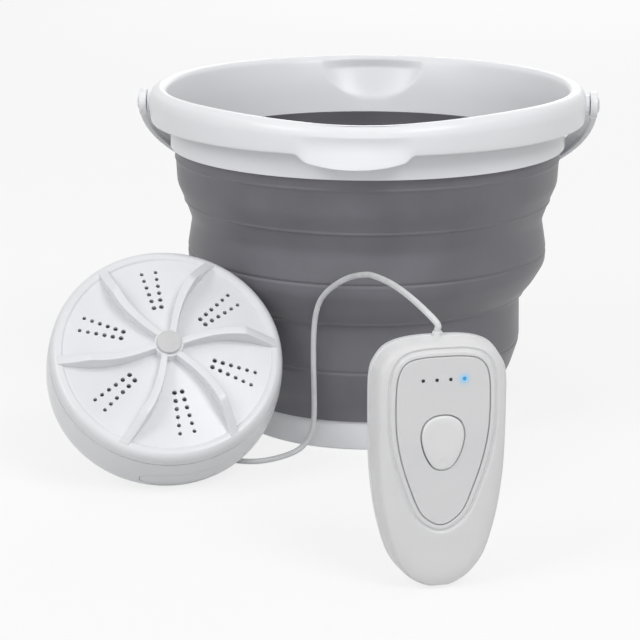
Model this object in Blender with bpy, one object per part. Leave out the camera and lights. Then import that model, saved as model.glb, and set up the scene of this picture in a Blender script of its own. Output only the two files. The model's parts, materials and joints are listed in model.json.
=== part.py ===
"""A mini turbine washer: a folding bucket with a bail, a round turbine unit that leans on the
bucket's wall, and a cordless handset that stands in front and is wired to the turbine.
Metres, +Z up. The origin is the centre of the bucket's underside, on the floor, and -Y is
the front."""

import math

import bmesh
import bpy
from mathutils import Matrix, Vector

# Shared clearances
gap = 0.0003
overrun = 0.002
weld_distance = 0.000001
smooth_angle = math.radians(35)
round_steps = 40
small_steps = 16
screw_steps = 12

# Bucket. The foot and the collar are shares of the rim's radius, and the folding wall steps
# at a share of its own height.
bucket_height = 0.207
rim_radius = 0.133
bucket_turn = math.radians(-3)
wall_thickness = 0.0028
rim_thickness = 0.0026
foot_share = 0.6353
foot_radius = foot_share * rim_radius
foot_height = 0.018
floor_thickness = 0.004
collar_share = 0.906
collar_radius = collar_share * rim_radius
collar_height = 0.036
collar_base = bucket_height - collar_height
step_share = 0.392
step_height = foot_height + step_share * (collar_base - foot_height)

# Bail and its pivots
bail_width = 0.006
bail_thickness = 0.003
bail_clearance = 0.0022
pivot_drop = 0.012
pivot_height = bucket_height - pivot_drop
pivot_radius = 0.0023
pivot_head_radius = 0.0046
eye_radius = 0.0062

# Turbine unit, in its own frame: +Z out of its face, the face ring's top at zero
turbine_radius = 0.066
turbine_depth = 0.048
turbine_offset = -0.115
turbine_elevation = math.radians(42)
turbine_yaw = math.radians(11)
housing_wall = 0.0022
seam_depth = 0.0085
blade_count = 6
blade_level = 0.0112
blade_width = 0.0055
cone_rise = 0.005
rotor_thickness = 0.0022
rotor_edge = 0.0016
shaft_radius = 0.002
motor_radius = 0.012
post_radius = 0.0042
screw_radius = 0.0014
screw_clearance = 0.0017
screw_head_radius = 0.003
suction_foot_height = 0.003

# Gears
gear_module = 0.0008
drive_teeth = 36
pinion_teeth = 12
gear_thickness = 0.004
cup_wall = 0.0015

# Handset, in its own frame: +Y up the handset, +Z out of its face, shells split at zero
handset_width = 0.0677
handset_height = 0.128
front_depth = 0.0135
back_depth = 0.008
shell_wall = 0.0018
handset_place = (0.0279, -0.284)
handset_yaw = math.radians(12)
panel_thickness = 0.0009
lens_radius = 0.0008
boss_radius = 0.0034
head_radius = 0.0028
head_sink = 0.0022
button_rise = 0.0012
button_round = 0.0026
switch_travel = 0.0012
switch_half = 0.003
board_level = 0.0036
board_thickness = 0.0016
port_width = 0.0088
port_thickness = 0.0032
port_length = 0.007

# Cord
cord_radius = 0.0016
cord_lead = 0.003
gland_radius = 2.2 * cord_radius
gland_length = 5 * cord_radius
top_gland_length = 1.6 * cord_radius


def clear_scene():
    for obj in list(bpy.data.objects):
        bpy.data.objects.remove(obj, do_unlink=True)


def finish(name, colour, roughness, metallic=0.0):
    """A material of one colour, made once and then shared."""
    found = bpy.data.materials.get(name)
    if found:
        return found
    made = bpy.data.materials.new(name)
    made.use_nodes = True
    shader = made.node_tree.nodes["Principled BSDF"]
    shader.inputs["Base Color"].default_value = (*colour, 1)
    shader.inputs["Roughness"].default_value = roughness
    shader.inputs["Metallic"].default_value = metallic
    return made


def white_plastic():
    return finish("white_plastic", (0.86, 0.87, 0.88), 0.3)


def pale_plastic():
    return finish("pale_plastic", (0.66, 0.66, 0.66), 0.4)


def cap_plastic():
    return finish("cap_plastic", (0.6, 0.6, 0.6), 0.4)


def folding_rubber():
    return finish("folding_rubber", (0.13, 0.13, 0.145), 0.5)


def black_rubber():
    return finish("black_rubber", (0.03, 0.03, 0.03), 0.7)


def cord_sheath():
    return finish("cord_sheath", (0.62, 0.62, 0.63), 0.45)


def steel():
    return finish("steel", (0.6, 0.6, 0.62), 0.3, 1)


def bronze():
    return finish("bronze", (0.55, 0.4, 0.2), 0.4, 1)


def nylon():
    return finish("nylon", (0.8, 0.78, 0.7), 0.5)


def board_laminate():
    return finish("board_laminate", (0.03, 0.2, 0.08), 0.5)


def cell_wrap():
    return finish("cell_wrap", (0.1, 0.2, 0.45), 0.4)


def lens_plastic():
    return finish("lens_plastic", (0.2, 0.5, 0.85), 0.2)


def mesh_object(name, bm, look, parent=None, spot=(0, 0, 0)):
    """The object of a finished bmesh, smooth where its faces turn gently."""
    bmesh.ops.recalc_face_normals(bm, faces=bm.faces)
    mesh = bpy.data.meshes.new(name)
    bm.to_mesh(mesh)
    bm.free()
    mesh.materials.append(look)
    mesh.shade_smooth()
    mesh.set_sharp_from_angle(angle=smooth_angle)
    obj = bpy.data.objects.new(name, mesh)
    bpy.context.scene.collection.objects.link(obj)
    obj.parent = parent
    obj.location = spot
    return obj


def empty(name, spot, turn=(0, 0, 0)):
    obj = bpy.data.objects.new(name, None)
    bpy.context.scene.collection.objects.link(obj)
    obj.location = spot
    obj.rotation_euler = turn
    return obj


def turned(outline, steps=round_steps):
    """A bmesh of an outline of (radius, height) points spun round Z. It is closed at the axis,
    or from its last point back to its first."""
    bm = bmesh.new()
    points = [bm.verts.new((radius, 0, height)) for radius, height in outline]
    edges = [bm.edges.new(pair) for pair in zip(points, points[1:])]
    if outline[0][0] > 0:
        edges.append(bm.edges.new((points[-1], points[0])))
    bmesh.ops.spin(
        bm, geom=points + edges, axis=(0, 0, 1), angle=math.tau, steps=steps, use_merge=True
    )
    bmesh.ops.remove_doubles(bm, verts=bm.verts, dist=weld_distance)
    return bm


def prism(outline, low, high):
    """A bmesh of an outline of (x, y) points, raised from low to high."""
    bm = bmesh.new()
    face = bm.faces.new([bm.verts.new((x, y, low)) for x, y in outline])
    grown = bmesh.ops.extrude_face_region(bm, geom=[face])
    top = [part for part in grown["geom"] if isinstance(part, bmesh.types.BMVert)]
    bmesh.ops.translate(bm, verts=top, vec=(0, 0, high - low))
    return bm


def lofted(sections):
    """A bmesh that joins closed sections of 3-D points in turn and closes both ends."""
    bm = bmesh.new()
    rows = [[bm.verts.new(point) for point in section] for section in sections]
    for low, high in zip(rows, rows[1:]):
        for number in range(len(low)):
            after = (number + 1) % len(low)
            bm.faces.new((low[number], low[after], high[after], high[number]))
    bm.faces.new(rows[0][::-1])
    bm.faces.new(rows[-1])
    return bm


def disc(radius, low, high, steps=round_steps):
    return turned([(0, low), (radius, low), (radius, high), (0, high)], steps)


def ring(inner, outer, low, high, steps=round_steps):
    return turned([(inner, low), (outer, low), (outer, high), (inner, high)], steps)


def moved(bm, spot, turn=None):
    """The same bmesh, turned and then put at a spot."""
    matrix = Matrix.Translation(spot)
    bmesh.ops.transform(bm, matrix=matrix @ turn if turn else matrix, verts=bm.verts)
    return bm


def lying_along_x():
    return Matrix.Rotation(math.radians(90), 4, "Y")


def lying_along_y():
    return Matrix.Rotation(math.radians(-90), 4, "X")


def joined(bmeshes):
    """One bmesh that holds several. Only a cutter may be made of bodies that don't meet."""
    whole = bmesh.new()
    for bm in bmeshes:
        mesh = bpy.data.meshes.new("piece")
        bmesh.ops.recalc_face_normals(bm, faces=bm.faces)
        bm.to_mesh(mesh)
        bm.free()
        whole.from_mesh(mesh)
        bpy.data.meshes.remove(mesh)
    return whole


def helper(name, bm, parent=None):
    """A solid that only shapes another one by a Boolean."""
    obj = mesh_object(name, bm, steel(), parent)
    obj.hide_render = True
    obj.display_type = "WIRE"
    return obj


def boolean(obj, other, operation):
    modifier = obj.modifiers.new(other.name, "BOOLEAN")
    modifier.operation = operation
    modifier.solver = "EXACT"
    modifier.object = other


def between(table, at):
    """The value of a table of (place, value) pairs, read along straight lines."""
    for (low, first), (high, last) in zip(table, table[1:]):
        if at <= high:
            return first + (last - first) * max(0, at - low) / (high - low)
    return table[-1][1]


# Bucket wall: outer radius as a share of the rim's, at shares of the wall's height
wall_radius_shares = [
    (0.0, 0.645),
    (0.05, 0.653),
    (0.11, 0.685),
    (0.21, 0.721),
    (step_share, 0.7165),
    (0.464, 0.783),
    (0.536, 0.831),
    (0.588, 0.8345),
    (0.706, 0.812),
    (0.784, 0.843),
    (0.856, 0.878),
    (0.967, 0.8845),
    (1.0, 0.8835),
]


def wall_table():
    """The wall's outer side as (height, radius) pairs, bottom to top."""
    height = collar_base - foot_height
    return [
        (foot_height + height * share, rim_radius * radius_share)
        for share, radius_share in wall_radius_shares
    ]


def wall_outline(low, high):
    """The closed outline of the wall between two heights."""
    table = wall_table()
    heights = [low] + [z for z, _ in table if low < z < high] + [high]
    outer = [(between(table, z), z) for z in heights]
    inner = [(radius - wall_thickness, z) for radius, z in reversed(outer)]
    return outer + inner


def make_foot():
    """White base: a flat disc with a ring wall round the folding wall's foot."""
    chamfer = floor_thickness / 4
    inner = foot_radius - wall_thickness
    outline = [
        (0, 0),
        (foot_radius - chamfer, 0),
        (foot_radius, chamfer),
        (foot_radius, foot_height - gap),
        (inner, foot_height - gap),
        (inner, floor_thickness),
        (0, floor_thickness),
    ]
    mesh_object("base_ring", turned(outline), white_plastic())


def make_floor():
    """Grey rubber floor, laid on the base inside its ring."""
    radius = foot_radius - wall_thickness - gap
    low = floor_thickness + gap
    lip = low + floor_thickness / 2
    outline = [
        (0, low),
        (radius, low),
        (radius, foot_height - gap),
        (radius - wall_thickness, foot_height - gap),
        (radius - wall_thickness, lip),
        (0, lip),
    ]
    mesh_object("bucket_floor", turned(outline), folding_rubber())


def make_walls():
    """Grey folding wall: the part below the step stands, the part above it folds."""
    low = wall_outline(foot_height, step_height - gap)
    high = wall_outline(step_height, collar_base - gap)
    mesh_object("lower_wall", turned(low), folding_rubber())
    mesh_object("upper_wall", turned(high), folding_rubber())


def rim_outline():
    """White rim: a collar whose top rolls outwards and down, open underneath."""
    collar_inner = collar_radius - 2 * rim_thickness
    inner_top = rim_radius - 4.4 * rim_thickness
    roll_base = bucket_height - 7.7 * rim_thickness
    crest = rim_radius - 2.5 * rim_thickness
    outer_top = rim_radius - rim_thickness
    return [
        (collar_inner, collar_base),
        (collar_radius, collar_base),
        (collar_radius, roll_base + rim_thickness),
        (inner_top + rim_thickness, bucket_height - 2 * rim_thickness),
        (crest, bucket_height - rim_thickness),
        (rim_radius - rim_thickness, bucket_height - 3 * rim_thickness),
        (rim_radius - 1.4 * rim_thickness, roll_base),
        (rim_radius - 0.4 * rim_thickness, roll_base),
        (rim_radius, bucket_height - 3.2 * rim_thickness),
        (outer_top + 0.5 * rim_thickness, bucket_height - 1.5 * rim_thickness),
        (outer_top, bucket_height - 0.6 * rim_thickness),
        (crest, bucket_height),
        (inner_top + 0.7 * rim_thickness, bucket_height - 0.7 * rim_thickness),
        (inner_top, bucket_height - 2 * rim_thickness),
        (collar_inner + 1.2 * rim_thickness, roll_base + rim_thickness),
    ]


def egg(centre, reach):
    """A bmesh of an egg with its half sizes along X, Y and Z."""
    bm = bmesh.new()
    around, upright = 18, 8
    bmesh.ops.create_uvsphere(bm, u_segments=around, v_segments=upright, radius=1)
    matrix = Matrix.Translation(centre) @ Matrix.Diagonal((*reach, 1))
    bmesh.ops.transform(bm, matrix=matrix, verts=bm.verts)
    return bm


def make_spout(name, side, parent):
    """The outside of a pouring lip, a half egg under the roll, and the scoop inside it."""
    middle = collar_radius - rim_thickness / 2
    width, height = 0.33 * rim_radius, 5.1 * rim_thickness
    depth = rim_radius - 0.2 * rim_thickness - middle
    top = bucket_height - 6.5 * rim_thickness
    centre = Vector((0, side * middle, top))
    lip = helper(name + "_lip", egg(centre, (width, depth, height)), parent)
    low, high = collar_base - overrun, bucket_height + overrun
    inner = collar_radius - 1.5 * rim_thickness
    core = [(0, low), (inner, low), (inner + rim_thickness, high), (0, high)]
    boolean(lip, helper(name + "_core", turned(core), parent), "DIFFERENCE")
    scoop_width, scoop_depth = width - 1.5 * rim_thickness, depth - 1.2 * rim_thickness
    scoop_height = bucket_height - top + height / 4
    centre.y -= side * rim_thickness
    centre.z = top + scoop_height - height + rim_thickness
    scoop = egg(centre, (scoop_width, scoop_depth, scoop_height))
    return lip, helper(name + "_scoop", scoop, parent)


def boss_reach():
    """How far out the pivot bosses on the rim reach."""
    return rim_radius + bail_clearance - gap


def make_rim(turn):
    """White rim with its two pouring lips and the bosses that carry the bail."""
    rim = mesh_object("rim", turned(rim_outline()), white_plastic(), turn)
    for name, side in (("front", -1), ("back", 1)):
        lip, scoop = make_spout(name, side, turn)
        boolean(rim, lip, "UNION")
        boolean(rim, scoop, "DIFFERENCE")
    inner = rim_radius - 2 * rim_thickness
    for side in (-1, 1):
        length = boss_reach() - inner
        boss = disc(eye_radius, -length / 2, length / 2, small_steps)
        spot = (side * (inner + length / 2), 0, pivot_height)
        boolean(rim, helper("boss", moved(boss, spot, lying_along_x()), turn), "UNION")
        bore = disc(pivot_radius + gap, -length / 2, length / 2, small_steps)
        spot = (side * (inner + rim_thickness + length / 2), 0, pivot_height)
        boolean(rim, helper("bore", moved(bore, spot, lying_along_x()), turn), "DIFFERENCE")


def bail_inner():
    return rim_radius + bail_clearance


def resting_angle():
    """How far the bail hangs below the level at the back before it lies on the wall."""
    table = wall_table()
    angle = 0
    step = math.radians(0.25)
    while angle < math.radians(80):
        drop = bail_inner() * math.sin(angle + step) + bail_width / 2 * math.cos(angle)
        reach = bail_inner() * math.cos(angle + step) - bail_width / 2 * math.sin(angle)
        if reach < between(table, pivot_height - drop) + 2 * gap:
            break
        angle += step
    return angle


def bail_hoop():
    """Half a hoop of flat band, from one pivot over to the other."""
    inner, outer = bail_inner(), bail_inner() + bail_thickness
    low, high = -bail_width / 2, bail_width / 2
    steps = 32
    sections = []
    for step in range(steps + 1):
        x, y = math.cos(math.pi * step / steps), math.sin(math.pi * step / steps)
        corners = [(inner, low), (outer, low), (outer, high), (inner, high)]
        sections.append([(radius * x, radius * y, z) for radius, z in corners])
    return lofted(sections)


def make_bail(turn):
    """White bail: a half hoop of flat band with an eye at each end."""
    bail = mesh_object("bail", bail_hoop(), white_plastic(), turn, (0, 0, pivot_height))
    bail.rotation_euler.x = -resting_angle()
    for side in (-1, 1):
        spot = (side * (bail_inner() + bail_thickness / 2), 0, 0)
        half = (bail_thickness - gap) / 2
        eye = disc(eye_radius, -half, half, small_steps)
        boolean(bail, helper("eye", moved(eye, spot, lying_along_x()), bail), "UNION")
        hole = disc(pivot_radius + gap, -bail_thickness, bail_thickness, small_steps)
        boolean(bail, helper("hole", moved(hole, spot, lying_along_x()), bail), "DIFFERENCE")


def make_pivot_pins(turn):
    """The headed pins that hold the bail's eyes to the rim's bosses."""
    start = rim_radius - rim_thickness + gap
    neck = bail_inner() + bail_thickness + gap
    head = neck + bail_thickness / 2
    for name, side in (("left_pivot_pin", -1), ("right_pivot_pin", 1)):
        outline = [
            (0, start),
            (pivot_radius, start),
            (pivot_radius, neck),
            (pivot_head_radius, neck),
            (pivot_head_radius, head - gap),
            (pivot_head_radius - gap, head),
            (0, head),
        ]
        pin = turned(outline, small_steps)
        turn_out = Matrix.Rotation(side * math.radians(90), 4, "Y")
        moved(pin, (0, 0, pivot_height), turn_out)
        mesh_object(name, pin, white_plastic(), turn)


# Turbine housing: outer radius as a share of the turbine's, at shares of its depth
housing_shares = [
    (0.177, 1.003),
    (0.34, 1.016),
    (0.58, 1.018),
    (0.78, 1.005),
    (0.88, 0.96),
    (0.95, 0.9),
    (1.0, 0.85),
]


def housing_table():
    """The housing's outer side as (depth, radius) pairs, from the seam to the back."""
    return [
        (turbine_depth * share, turbine_radius * radius_share)
        for share, radius_share in housing_shares
    ]


def turbine_turn():
    tilt = math.radians(90) - turbine_elevation
    return Matrix.Rotation(turbine_yaw, 3, "Z") @ Matrix.Rotation(tilt, 3, "X")


def turbine_centre():
    """Where the middle of the turbine's face is: its edge on the floor, its back on the wall."""
    turn = turbine_turn()
    feet_depth = turbine_depth + suction_foot_height + gap
    points = []
    for depth, radius in housing_table() + [(feet_depth, suction_foot_reach())]:
        for step in range(2 * round_steps):
            angle = math.pi * step / round_steps
            flat = (radius * math.cos(angle), radius * math.sin(angle), -depth)
            points.append(turn @ Vector(flat))
    height = -min(point.z for point in points)
    wall = wall_table()
    nearest = 0
    for point in points:
        across = turbine_offset + point.x
        reach = between(wall, height + point.z) + 2 * gap
        if abs(across) < reach:
            nearest = max(nearest, point.y + math.sqrt(reach**2 - across**2))
    return Vector((turbine_offset, -nearest, height))


def deck_depth():
    return 1.25 * seam_depth


def floor_depth():
    return turbine_depth - housing_wall


def cone_table():
    """The top of the rotor's panels as (radius, height) pairs, from the hub to the ring."""
    return [(hub_radius(), cone_rise), (0.89 * turbine_radius, -rotor_edge / 2)]


def hub_radius():
    return 0.125 * turbine_radius


def cap_radius():
    return 0.11 * turbine_radius


# Blade sections: how far out they stand as a share of the turbine's radius
blade_shares = [0.08, 0.22, 0.37, 0.52, 0.67, 0.81, 0.94]


def blade():
    """One curved blade: level from the hub to its bend, then down to the ring."""
    bend_share, end_share = blade_shares[-3], blade_shares[-1]
    bend, end = bend_share * turbine_radius, end_share * turbine_radius
    profile = [(0, blade_level), (bend, blade_level), (end, rotor_edge / 4)]
    sections = []
    for share in blade_shares:
        distance = share * turbine_radius
        along = (share - blade_shares[0]) / (end_share - blade_shares[0])
        bow = 0.08 * turbine_radius * math.sin(math.pi * along)
        half = blade_width * (0.35 + 0.15 * along)
        low = between(cone_table(), distance) - rotor_thickness / 2
        high = between(profile, distance)
        corners = [(-half, low), (half, low), (half, high), (-half, high)]
        sections.append([(distance, across + bow, z) for across, z in corners])
    return lofted(sections)


def rotor_outline():
    """The rotor's panels as a cone, with a ring round them that hangs down to the seam."""
    inner = 0.905 * turbine_radius
    (hub, hub_top), (edge, edge_top) = cone_table()
    skirt = -(seam_depth - 2 * gap)
    return [
        (0, hub_top),
        (hub, hub_top),
        (edge, edge_top),
        (inner, 0),
        (0.95 * turbine_radius, 0),
        (turbine_radius, -2 * rotor_edge),
        (turbine_radius, skirt),
        (turbine_radius - rotor_edge, skirt),
        (turbine_radius - rotor_edge, edge_top - rotor_thickness),
        (edge, edge_top - rotor_thickness),
        (hub, hub_top - rotor_thickness),
        (0, hub_top - rotor_thickness),
    ]


def make_impeller(parent):
    """White rotor: a ring, conical panels with rows of holes, curved blades and a hub."""
    rotor = mesh_object("impeller", turned(rotor_outline()), white_plastic(), parent)
    start = math.radians(1.5)
    for number in range(blade_count):
        turn = Matrix.Rotation(start + math.tau * number / blade_count, 4, "Z")
        boolean(rotor, helper("blade", moved(blade(), (0, 0, 0), turn), parent), "UNION")
    hub = disc(hub_radius(), -rotor_thickness, blade_level - gap, small_steps)
    boolean(rotor, helper("hub", hub, parent), "UNION")
    well = disc(shaft_radius + gap, -turbine_depth, blade_level / 2, small_steps)
    boolean(rotor, helper("well", well, parent), "DIFFERENCE")
    seat_low = blade_level - rotor_edge
    seat = disc(cap_radius(), seat_low, blade_level + overrun, 2 * small_steps)
    boolean(rotor, helper("cap_seat", seat, parent), "DIFFERENCE")
    boolean(rotor, helper("holes", hole_cutters(), parent), "DIFFERENCE")


def make_hub_cap(parent):
    """Pale grey cap, pressed into the hub's seat."""
    low = blade_level - rotor_edge + gap
    top = blade_level + 1.25 * rotor_edge
    radius = cap_radius() - gap
    outline = [
        (0, low),
        (radius, low),
        (radius, top - rotor_edge / 3),
        (radius - rotor_edge / 3, top),
        (0, top),
    ]
    mesh_object("hub_cap", turned(outline, 2 * small_steps), cap_plastic(), parent)


def hole_cutters():
    """Two rows of round holes in each of the rotor's sectors."""
    first, last = 0.41 * turbine_radius, 0.77 * turbine_radius
    wide, narrow = 0.00125, 0.00095
    per_row = 6
    spread = math.radians(4.6)
    middle = math.radians(37)
    holes = []
    for sector in range(blade_count):
        for side in (-1, 1):
            angle = middle + side * spread + math.tau * sector / blade_count
            turn = Matrix.Rotation(angle, 4, "Z")
            for step in range(per_row):
                along = step / (per_row - 1)
                distance = first + (last - first) * along
                radius = wide + (narrow - wide) * along
                hole = disc(radius, -seam_depth, cone_rise, 6)
                holes.append(moved(hole, turn @ Vector((distance, 0, 0))))
    return joined(holes)


def make_housing(parent):
    """White rear shell of the turbine with posts for the deck and a pocket for its cover."""
    table = housing_table()
    outer = [(radius, -depth) for depth, radius in table]
    inner = [(radius - housing_wall, -depth) for depth, radius in table[:-2]]
    low_inner = table[-2][1] - 1.6 * housing_wall
    outline = [(0, -turbine_depth)] + outer[::-1] + inner
    outline += [(low_inner, -floor_depth()), (0, -floor_depth())]
    shell = mesh_object("turbine_housing", turned(outline), white_plastic(), parent)
    for number in range(3):
        top = -(deck_depth() + housing_wall + 2 * gap)
        post = disc(post_radius, -(floor_depth() + housing_wall / 2), top, small_steps)
        boolean(shell, helper("post", moved(post, post_spot(number)), parent), "UNION")
    bores = []
    for number in range(3):
        bore = disc(screw_clearance, -turbine_depth / 2 - overrun, 0, screw_steps)
        bores.append(moved(bore, post_spot(number)))
    boolean(shell, helper("post_bores", joined(bores), parent), "DIFFERENCE")
    pocket = side_cover(gap, overrun)
    boolean(shell, helper("cover_pocket", pocket, parent), "DIFFERENCE")
    mouth = disc(gland_radius + gap, -(turbine_depth + overrun), 0, small_steps)
    cut = helper("gland_mouth", moved(mouth, gland_spot()), parent)
    boolean(shell, cut, "DIFFERENCE")


def post_spot(number):
    angle = math.radians(90) + math.tau * number / 3
    distance = 0.8 * turbine_radius
    return Vector((distance * math.cos(angle), distance * math.sin(angle), 0))


def side_cover(margin, proud):
    """The long round-ended cover low on the housing's side, or its pocket given a margin."""
    middle, half_height = 0.585 * turbine_depth, 0.16 * turbine_depth
    start, sweep = math.radians(-107), math.radians(54)
    thickness = 0.55 * housing_wall
    table = housing_table()
    spread = margin / turbine_radius
    steps = 12
    sections = []
    for step in range(steps + 1):
        along = 2 * step / steps - 1
        half = half_height * max(0.3, (1 - abs(along) ** 5) ** 0.5) + margin
        angle = start + sweep / 2 + (sweep / 2 + spread) * along
        low, high = middle + half, middle - half
        section = []
        for depth, out in ((low, 0), (low, 1), (middle, 1), (high, 1), (high, 0), (middle, 0)):
            side = between(table, depth)
            radius = side + proud if out else side - thickness - margin
            section.append((radius * math.cos(angle), radius * math.sin(angle), -depth))
        sections.append(section)
    return lofted(sections)


def make_side_cover(parent):
    mesh_object("side_cover", side_cover(0, 0), white_plastic(), parent)


def make_deck(parent):
    """The sealed deck under the rotor, its gasket, bearing and shaft seal."""
    radius = between(housing_table(), deck_depth()) - housing_wall - gap
    top = -deck_depth()
    bottom = top - housing_wall
    bearing_radius = 2.6 * shaft_radius
    deck = ring(bearing_radius + gap, radius - 2 * gap, bottom, top)
    deck = mesh_object("motor_deck", deck, white_plastic(), parent)
    bores = []
    for number in range(3):
        bore = disc(screw_clearance, bottom - overrun, top + overrun, screw_steps)
        bores.append(moved(bore, post_spot(number)))
    boolean(deck, helper("deck_bores", joined(bores), parent), "DIFFERENCE")
    bush = ring(shaft_radius + gap, bearing_radius, bottom, top, small_steps)
    mesh_object("shaft_bearing", bush, bronze(), parent)
    seal_top = top + 0.6 * housing_wall
    seal = [
        (shaft_radius + gap, top + gap),
        (1.6 * bearing_radius, top + gap),
        (1.5 * bearing_radius, seal_top),
        (shaft_radius + gap, seal_top),
    ]
    mesh_object("shaft_seal", turned(seal, small_steps), black_rubber(), parent)
    gasket_top = top + 0.5 * housing_wall
    gasket = ring(radius - 2 * housing_wall, radius - gap, top + gap, gasket_top)
    mesh_object("deck_gasket", gasket, black_rubber(), parent)


def make_deck_screws(parent):
    head_low = gap - deck_depth()
    head_high = head_low + 0.6 * housing_wall
    end = -turbine_depth / 2
    outline = [
        (0, end),
        (screw_radius, end),
        (screw_radius, head_low),
        (screw_head_radius, head_low),
        (0.8 * screw_head_radius, head_high),
        (0, head_high),
    ]
    for number in range(3):
        name = "deck_screw_%d" % (number + 1)
        mesh_object(name, turned(outline, screw_steps), steel(), parent, post_spot(number))


def gear(teeth, low, high):
    """A spur gear's body: each tooth narrows from its root up to its tip."""
    pitch = gear_module * teeth / 2
    root, tip = pitch - 1.2 * gear_module, pitch + 0.9 * gear_module
    tooth = [(root, -0.3), (tip, -0.11), (tip, 0.11), (root, 0.3)]
    outline = []
    for number in range(teeth):
        for radius, share in tooth:
            angle = (number + share) * math.tau / teeth
            outline.append((radius * math.cos(angle), radius * math.sin(angle)))
    return prism(outline, low, high)


def gear_distance():
    return gear_module * (drive_teeth + pinion_teeth) / 2 + gap / 3


def gear_bottom():
    return -(deck_depth() + housing_wall + gear_thickness + 4 * gap)


def make_gears(parent, pinion_parent):
    """The drive gear on the rotor's shaft and the pinion on the motor's shaft."""
    low = gear_bottom()
    high = low + gear_thickness
    drive = mesh_object("drive_gear", gear(drive_teeth, low, high), nylon(), parent)
    hole = disc(shaft_radius + gap, low - overrun, high + overrun, small_steps)
    boolean(drive, helper("drive_bore", hole, parent), "DIFFERENCE")
    blank = gear(pinion_teeth, low, high)
    half_tooth = Matrix.Rotation(math.pi / pinion_teeth, 4, "Z")
    moved(blank, (0, 0, 0), half_tooth)
    pinion = mesh_object("pinion_gear", blank, nylon(), pinion_parent)
    hole = disc(0.6 * shaft_radius + gap, low - overrun, high + overrun, screw_steps)
    boolean(pinion, helper("pinion_bore", hole, pinion_parent), "DIFFERENCE")


def plate_top():
    return gear_bottom() - 2 * gap


def motor_top():
    return plate_top() - cup_wall - gap


def make_shafts(parent, pinion_parent):
    """The rotor's shaft, from the lower bearing up into the hub, and the motor's shaft."""
    low = plate_top() - cup_wall - 3 * gap
    shaft = disc(shaft_radius, low, blade_level / 2 - gap, small_steps)
    mesh_object("impeller_shaft", shaft, steel(), parent)
    end = gear_bottom() + gear_thickness
    pin = disc(0.6 * shaft_radius, motor_top() + gap, end, screw_steps)
    mesh_object("motor_shaft", pin, steel(), pinion_parent)


def make_gear_plate(parent):
    """The cup that closes the gears in below the deck and carries the motor."""
    radius = gear_distance() + 1.15 * motor_radius
    top = -(deck_depth() + housing_wall + gap)
    floor = plate_top()
    bush_radius = 2.1 * shaft_radius
    outline = [
        (bush_radius + gap, floor - cup_wall),
        (radius, floor - cup_wall),
        (radius, top),
        (radius - cup_wall, top),
        (radius - cup_wall, floor),
        (bush_radius + gap, floor),
    ]
    cup = mesh_object("gear_plate", turned(outline), pale_plastic(), parent)
    hole = disc(shaft_radius, floor - cup_wall - overrun, floor + overrun, small_steps)
    spot = (gear_distance(), 0, 0)
    boolean(cup, helper("motor_hole", moved(hole, spot), parent), "DIFFERENCE")
    bush = ring(shaft_radius + gap, bush_radius, floor - cup_wall, floor, small_steps)
    mesh_object("lower_bearing", bush, bronze(), parent)


def make_motor(parent):
    """A small can motor hung under the gear plate."""
    low = -(floor_depth() - gap)
    top = motor_top()
    edge = motor_radius / 12
    outline = [
        (0, low),
        (motor_radius - edge, low),
        (motor_radius, low + edge),
        (motor_radius, top - edge),
        (motor_radius - edge, top),
        (0, top),
    ]
    motor = turned(outline, 2 * small_steps)
    mesh_object("motor", motor, steel(), parent, (gear_distance(), 0, 0))


def gland_spot():
    return Vector((-0.09 * turbine_radius, -0.33 * turbine_radius, 0))


def gland_outline(length, neck):
    """A stepped, tapering sleeve: a flange inside the wall, then a cone to the cord."""
    flange = 1.5 * gland_radius
    return [
        (0, -neck - housing_wall),
        (flange, -neck - housing_wall),
        (flange, -neck - gap),
        (gland_radius, -neck - gap),
        (gland_radius, overrun),
        (1.35 * cord_radius, length),
        (0, length),
    ]


def make_turbine_gland(parent):
    sleeve = turned(gland_outline(gland_length, housing_wall), small_steps)
    down = Matrix.Rotation(math.pi, 4, "X")
    spot = gland_spot() + Vector((0, 0, -turbine_depth))
    mesh_object("turbine_gland", moved(sleeve, spot, down), cord_sheath(), parent)


def suction_foot_radius():
    return 0.13 * turbine_radius


def suction_foot_reach():
    """How far from the turbine's axis its suction feet reach."""
    return turbine_radius / 2 + suction_foot_radius()


def make_feet(parent):
    """Three rubber suction feet on the turbine's back."""
    radius, height = suction_foot_radius(), suction_foot_height
    top = -(turbine_depth + gap)
    outline = [
        (0, top),
        (0.5 * radius, top),
        (0.6 * radius, top - height / 2),
        (radius, top - height),
        (0.85 * radius, top - height),
        (0.4 * radius, top - 0.7 * height),
        (0, top - 0.65 * height),
    ]
    for number in range(3):
        angle = math.radians(90) + math.tau * number / 3
        foot = turned(outline, small_steps)
        spot = Vector((math.cos(angle), math.sin(angle), 0)) * turbine_radius / 2
        mesh_object("suction_foot_%d" % (number + 1), moved(foot, spot), black_rubber(), parent)


# Handset outline: half width as a share of half the full width, at shares of the height
handset_shares = [
    (0.0, 0.13),
    (0.02, 0.33),
    (0.061, 0.53),
    (0.135, 0.715),
    (0.255, 0.853),
    (0.367, 0.933),
    (0.518, 0.987),
    (0.74, 1.0),
    (0.862, 0.987),
    (0.92, 0.907),
    (0.969, 0.73),
    (0.995, 0.35),
]
panel_shares = [
    (0.271, 0.0),
    (0.285, 0.15),
    (0.33, 0.32),
    (0.434, 0.48),
    (0.537, 0.6),
    (0.652, 0.675),
    (0.794, 0.685),
    (0.892, 0.6),
    (0.93, 0.35),
    (0.935, 0.0),
]
button_shares = [
    (0.494, 0.0),
    (0.505, 0.13),
    (0.545, 0.235),
    (0.592, 0.295),
    (0.638, 0.312),
    (0.679, 0.26),
    (0.702, 0.14),
    (0.708, 0.0),
]


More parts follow.
